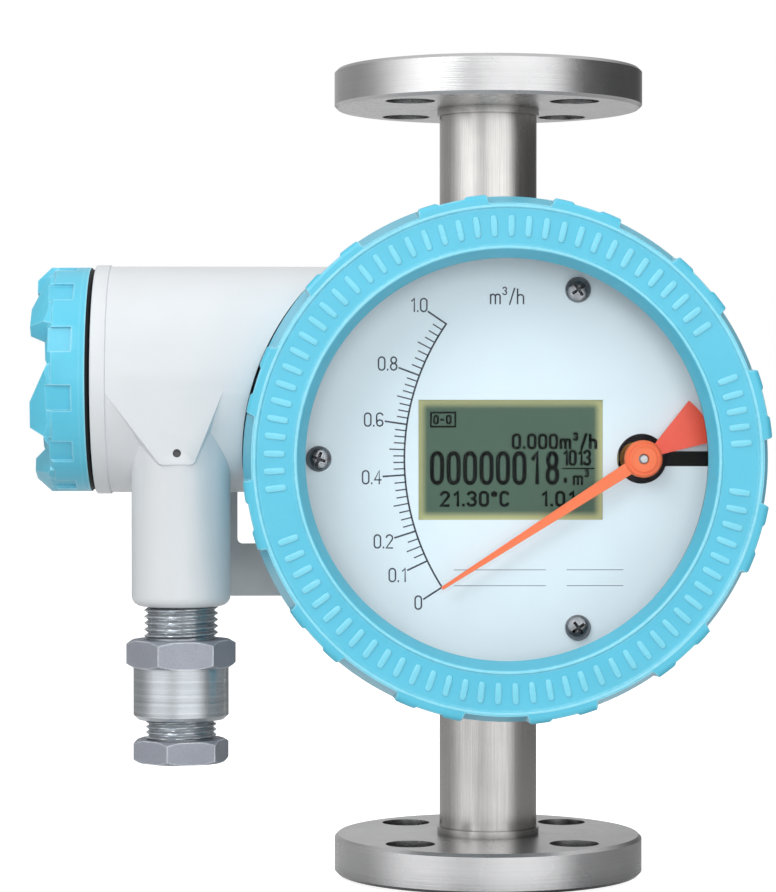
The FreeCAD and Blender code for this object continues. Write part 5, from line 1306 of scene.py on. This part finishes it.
# %% [markdown]
# Round bare metal mirrors the whole studio in narrow upright bands, and those bands are what
# makes it look like metal. Screens and flags could be set up as objects, but a list of how bright
# the studio is in each direction is easier to adjust. It counts from straight ahead of the dial
# towards the right: two bright screens with a dimmer seam between them, a dark flag on the right,
# and a dim room on the left and behind. The studio darkens towards the table's edge, the table
# itself is bright near the meter, and a soft box hangs overhead.

# %%
# World
STUDIO_BANDS = [(-180, 0.35), (-150, 0.25), (-104, 0.23), (-84, 0.50), (-66, 0.93), (-40, 0.95),
                (-18, 0.52), (3, 0.97), (40, 1.0), (54, 0.60), (68, 0.06), (150, 0.05), (180, 0.35)]
BAND_STRENGTH = 1.9
AMBIENT = 0.42
LOW_FROM, LOW_TO, LOW_LEAST = -0.12, 0.02, 0.42
TABLE_FROM, TABLE_TO, TABLE_MOST = -0.16, -0.112, 0.66
TABLE_BANDED, TABLE_EVEN = 0.65, 0.35
OVERHEAD_FROM, OVERHEAD_TO, OVERHEAD_MOST = 0.35, 0.8, 0.5


def studio_world():
    world = bpy.data.worlds.new("studio")
    scene.world = world
    world.use_nodes = True
    tree = world.node_tree
    tree.nodes.clear()
    add, maths, _ = tree_tools(tree)
    way = add("ShaderNodeSeparateXYZ", {0: add("ShaderNodeTexCoord").outputs["Generated"]}).outputs
    azimuth = maths("ARCTAN2", way[0], maths("MULTIPLY", way[1], -1.0))
    bands = add("ShaderNodeValToRGB", {0: maths("MULTIPLY_ADD", azimuth, 0.5 / math.pi, 0.5)})
    stops = bands.color_ramp.elements
    for i, (degrees, value) in enumerate(STUDIO_BANDS):
        place = (degrees + 180) / 360
        stop = stops[i] if i < 2 else stops.new(place)
        stop.position = place
        stop.color = (value, value, value, 1)

    low = remap(add, way[2], LOW_FROM, LOW_TO, LOW_LEAST, 1.0)
    room = maths("MULTIPLY", bands.outputs[0], low)
    table = maths("MULTIPLY", remap(add, way[2], TABLE_FROM, TABLE_TO, TABLE_MOST, 0.0),
                  maths("MULTIPLY_ADD", bands.outputs[0], TABLE_BANDED, TABLE_EVEN))
    overhead = remap(add, way[2], OVERHEAD_FROM, OVERHEAD_TO, 0.0, OVERHEAD_MOST)
    mirror = maths("MAXIMUM", maths("ADD", room, table), overhead)
    ray = add("ShaderNodeLightPath").outputs
    mirror = maths("MULTIPLY", maths("MULTIPLY", mirror, BAND_STRENGTH), ray["Is Glossy Ray"])
    plain = maths("MULTIPLY", maths("SUBTRACT", 1.0, ray["Is Glossy Ray"]), AMBIENT)
    straight = maths("SUBTRACT", 1.0, maths("MINIMUM", ray["Glossy Depth"], 1.0))
    seen = maths("MAXIMUM", ray["Is Camera Ray"],
                 maths("MULTIPLY", ray["Is Transmission Ray"], straight))
    unseen = maths("MULTIPLY", maths("SUBTRACT", 1.0, seen), maths("ADD", mirror, plain))
    background = add("ShaderNodeBackground", {"Color": (1, 1, 1, 1),
                                              "Strength": maths("ADD", seen, unseen)})
    add("ShaderNodeOutputWorld", {0: background.outputs[0]})


studio_world()
print("world bands", len(STUDIO_BANDS))

# %% [markdown]
# Soft boxes light what isn't a mirror: a key from the upper left, which gives the castings their
# shape, and weaker ones from the front, the right, above and behind. Only the key is seen in
# shiny surfaces, since each lamp would add its own square to the bands on the tube.


# %%
# Lights
def area_light(name, at, toward, size, power, colour=(1, 1, 1), mirrored=True):
    """A soft box; it isn't seen through the window, where it would veil the dial."""
    data = bpy.data.lights.new(name, "AREA")
    data.shape = "RECTANGLE"
    data.size, data.size_y = size
    data.energy = power
    data.color = colour
    lamp = bpy.data.objects.new(name, data)
    scene.collection.objects.link(lamp)
    lamp.location = at
    lamp.visible_glossy = mirrored
    lamp.visible_transmission = False
    lamp.rotation_euler = (Vector(toward) - Vector(at)).to_track_quat("-Z", "Y").to_euler()


AIM = (0, -0.05, 0.13)
area_light("key", (-0.75, -1.0, 0.95), AIM, (0.8, 0.8), 7.8)
area_light("front", (0.0, -1.5, 0.25), AIM, (0.7, 0.7), 6.6, mirrored=False)
area_light("fill", (1.0, -0.9, 0.35), AIM, (0.7, 1.0), 2.2, (0.97, 0.99, 1.0), mirrored=False)
area_light("top", (0.0, -0.1, 1.2), AIM, (0.9, 0.9), 3.8, mirrored=False)
area_light("back", (0.3, 1.1, 0.7), AIM, (1.0, 0.7), 3.0, mirrored=False)
print("lights", len(bpy.data.lights))
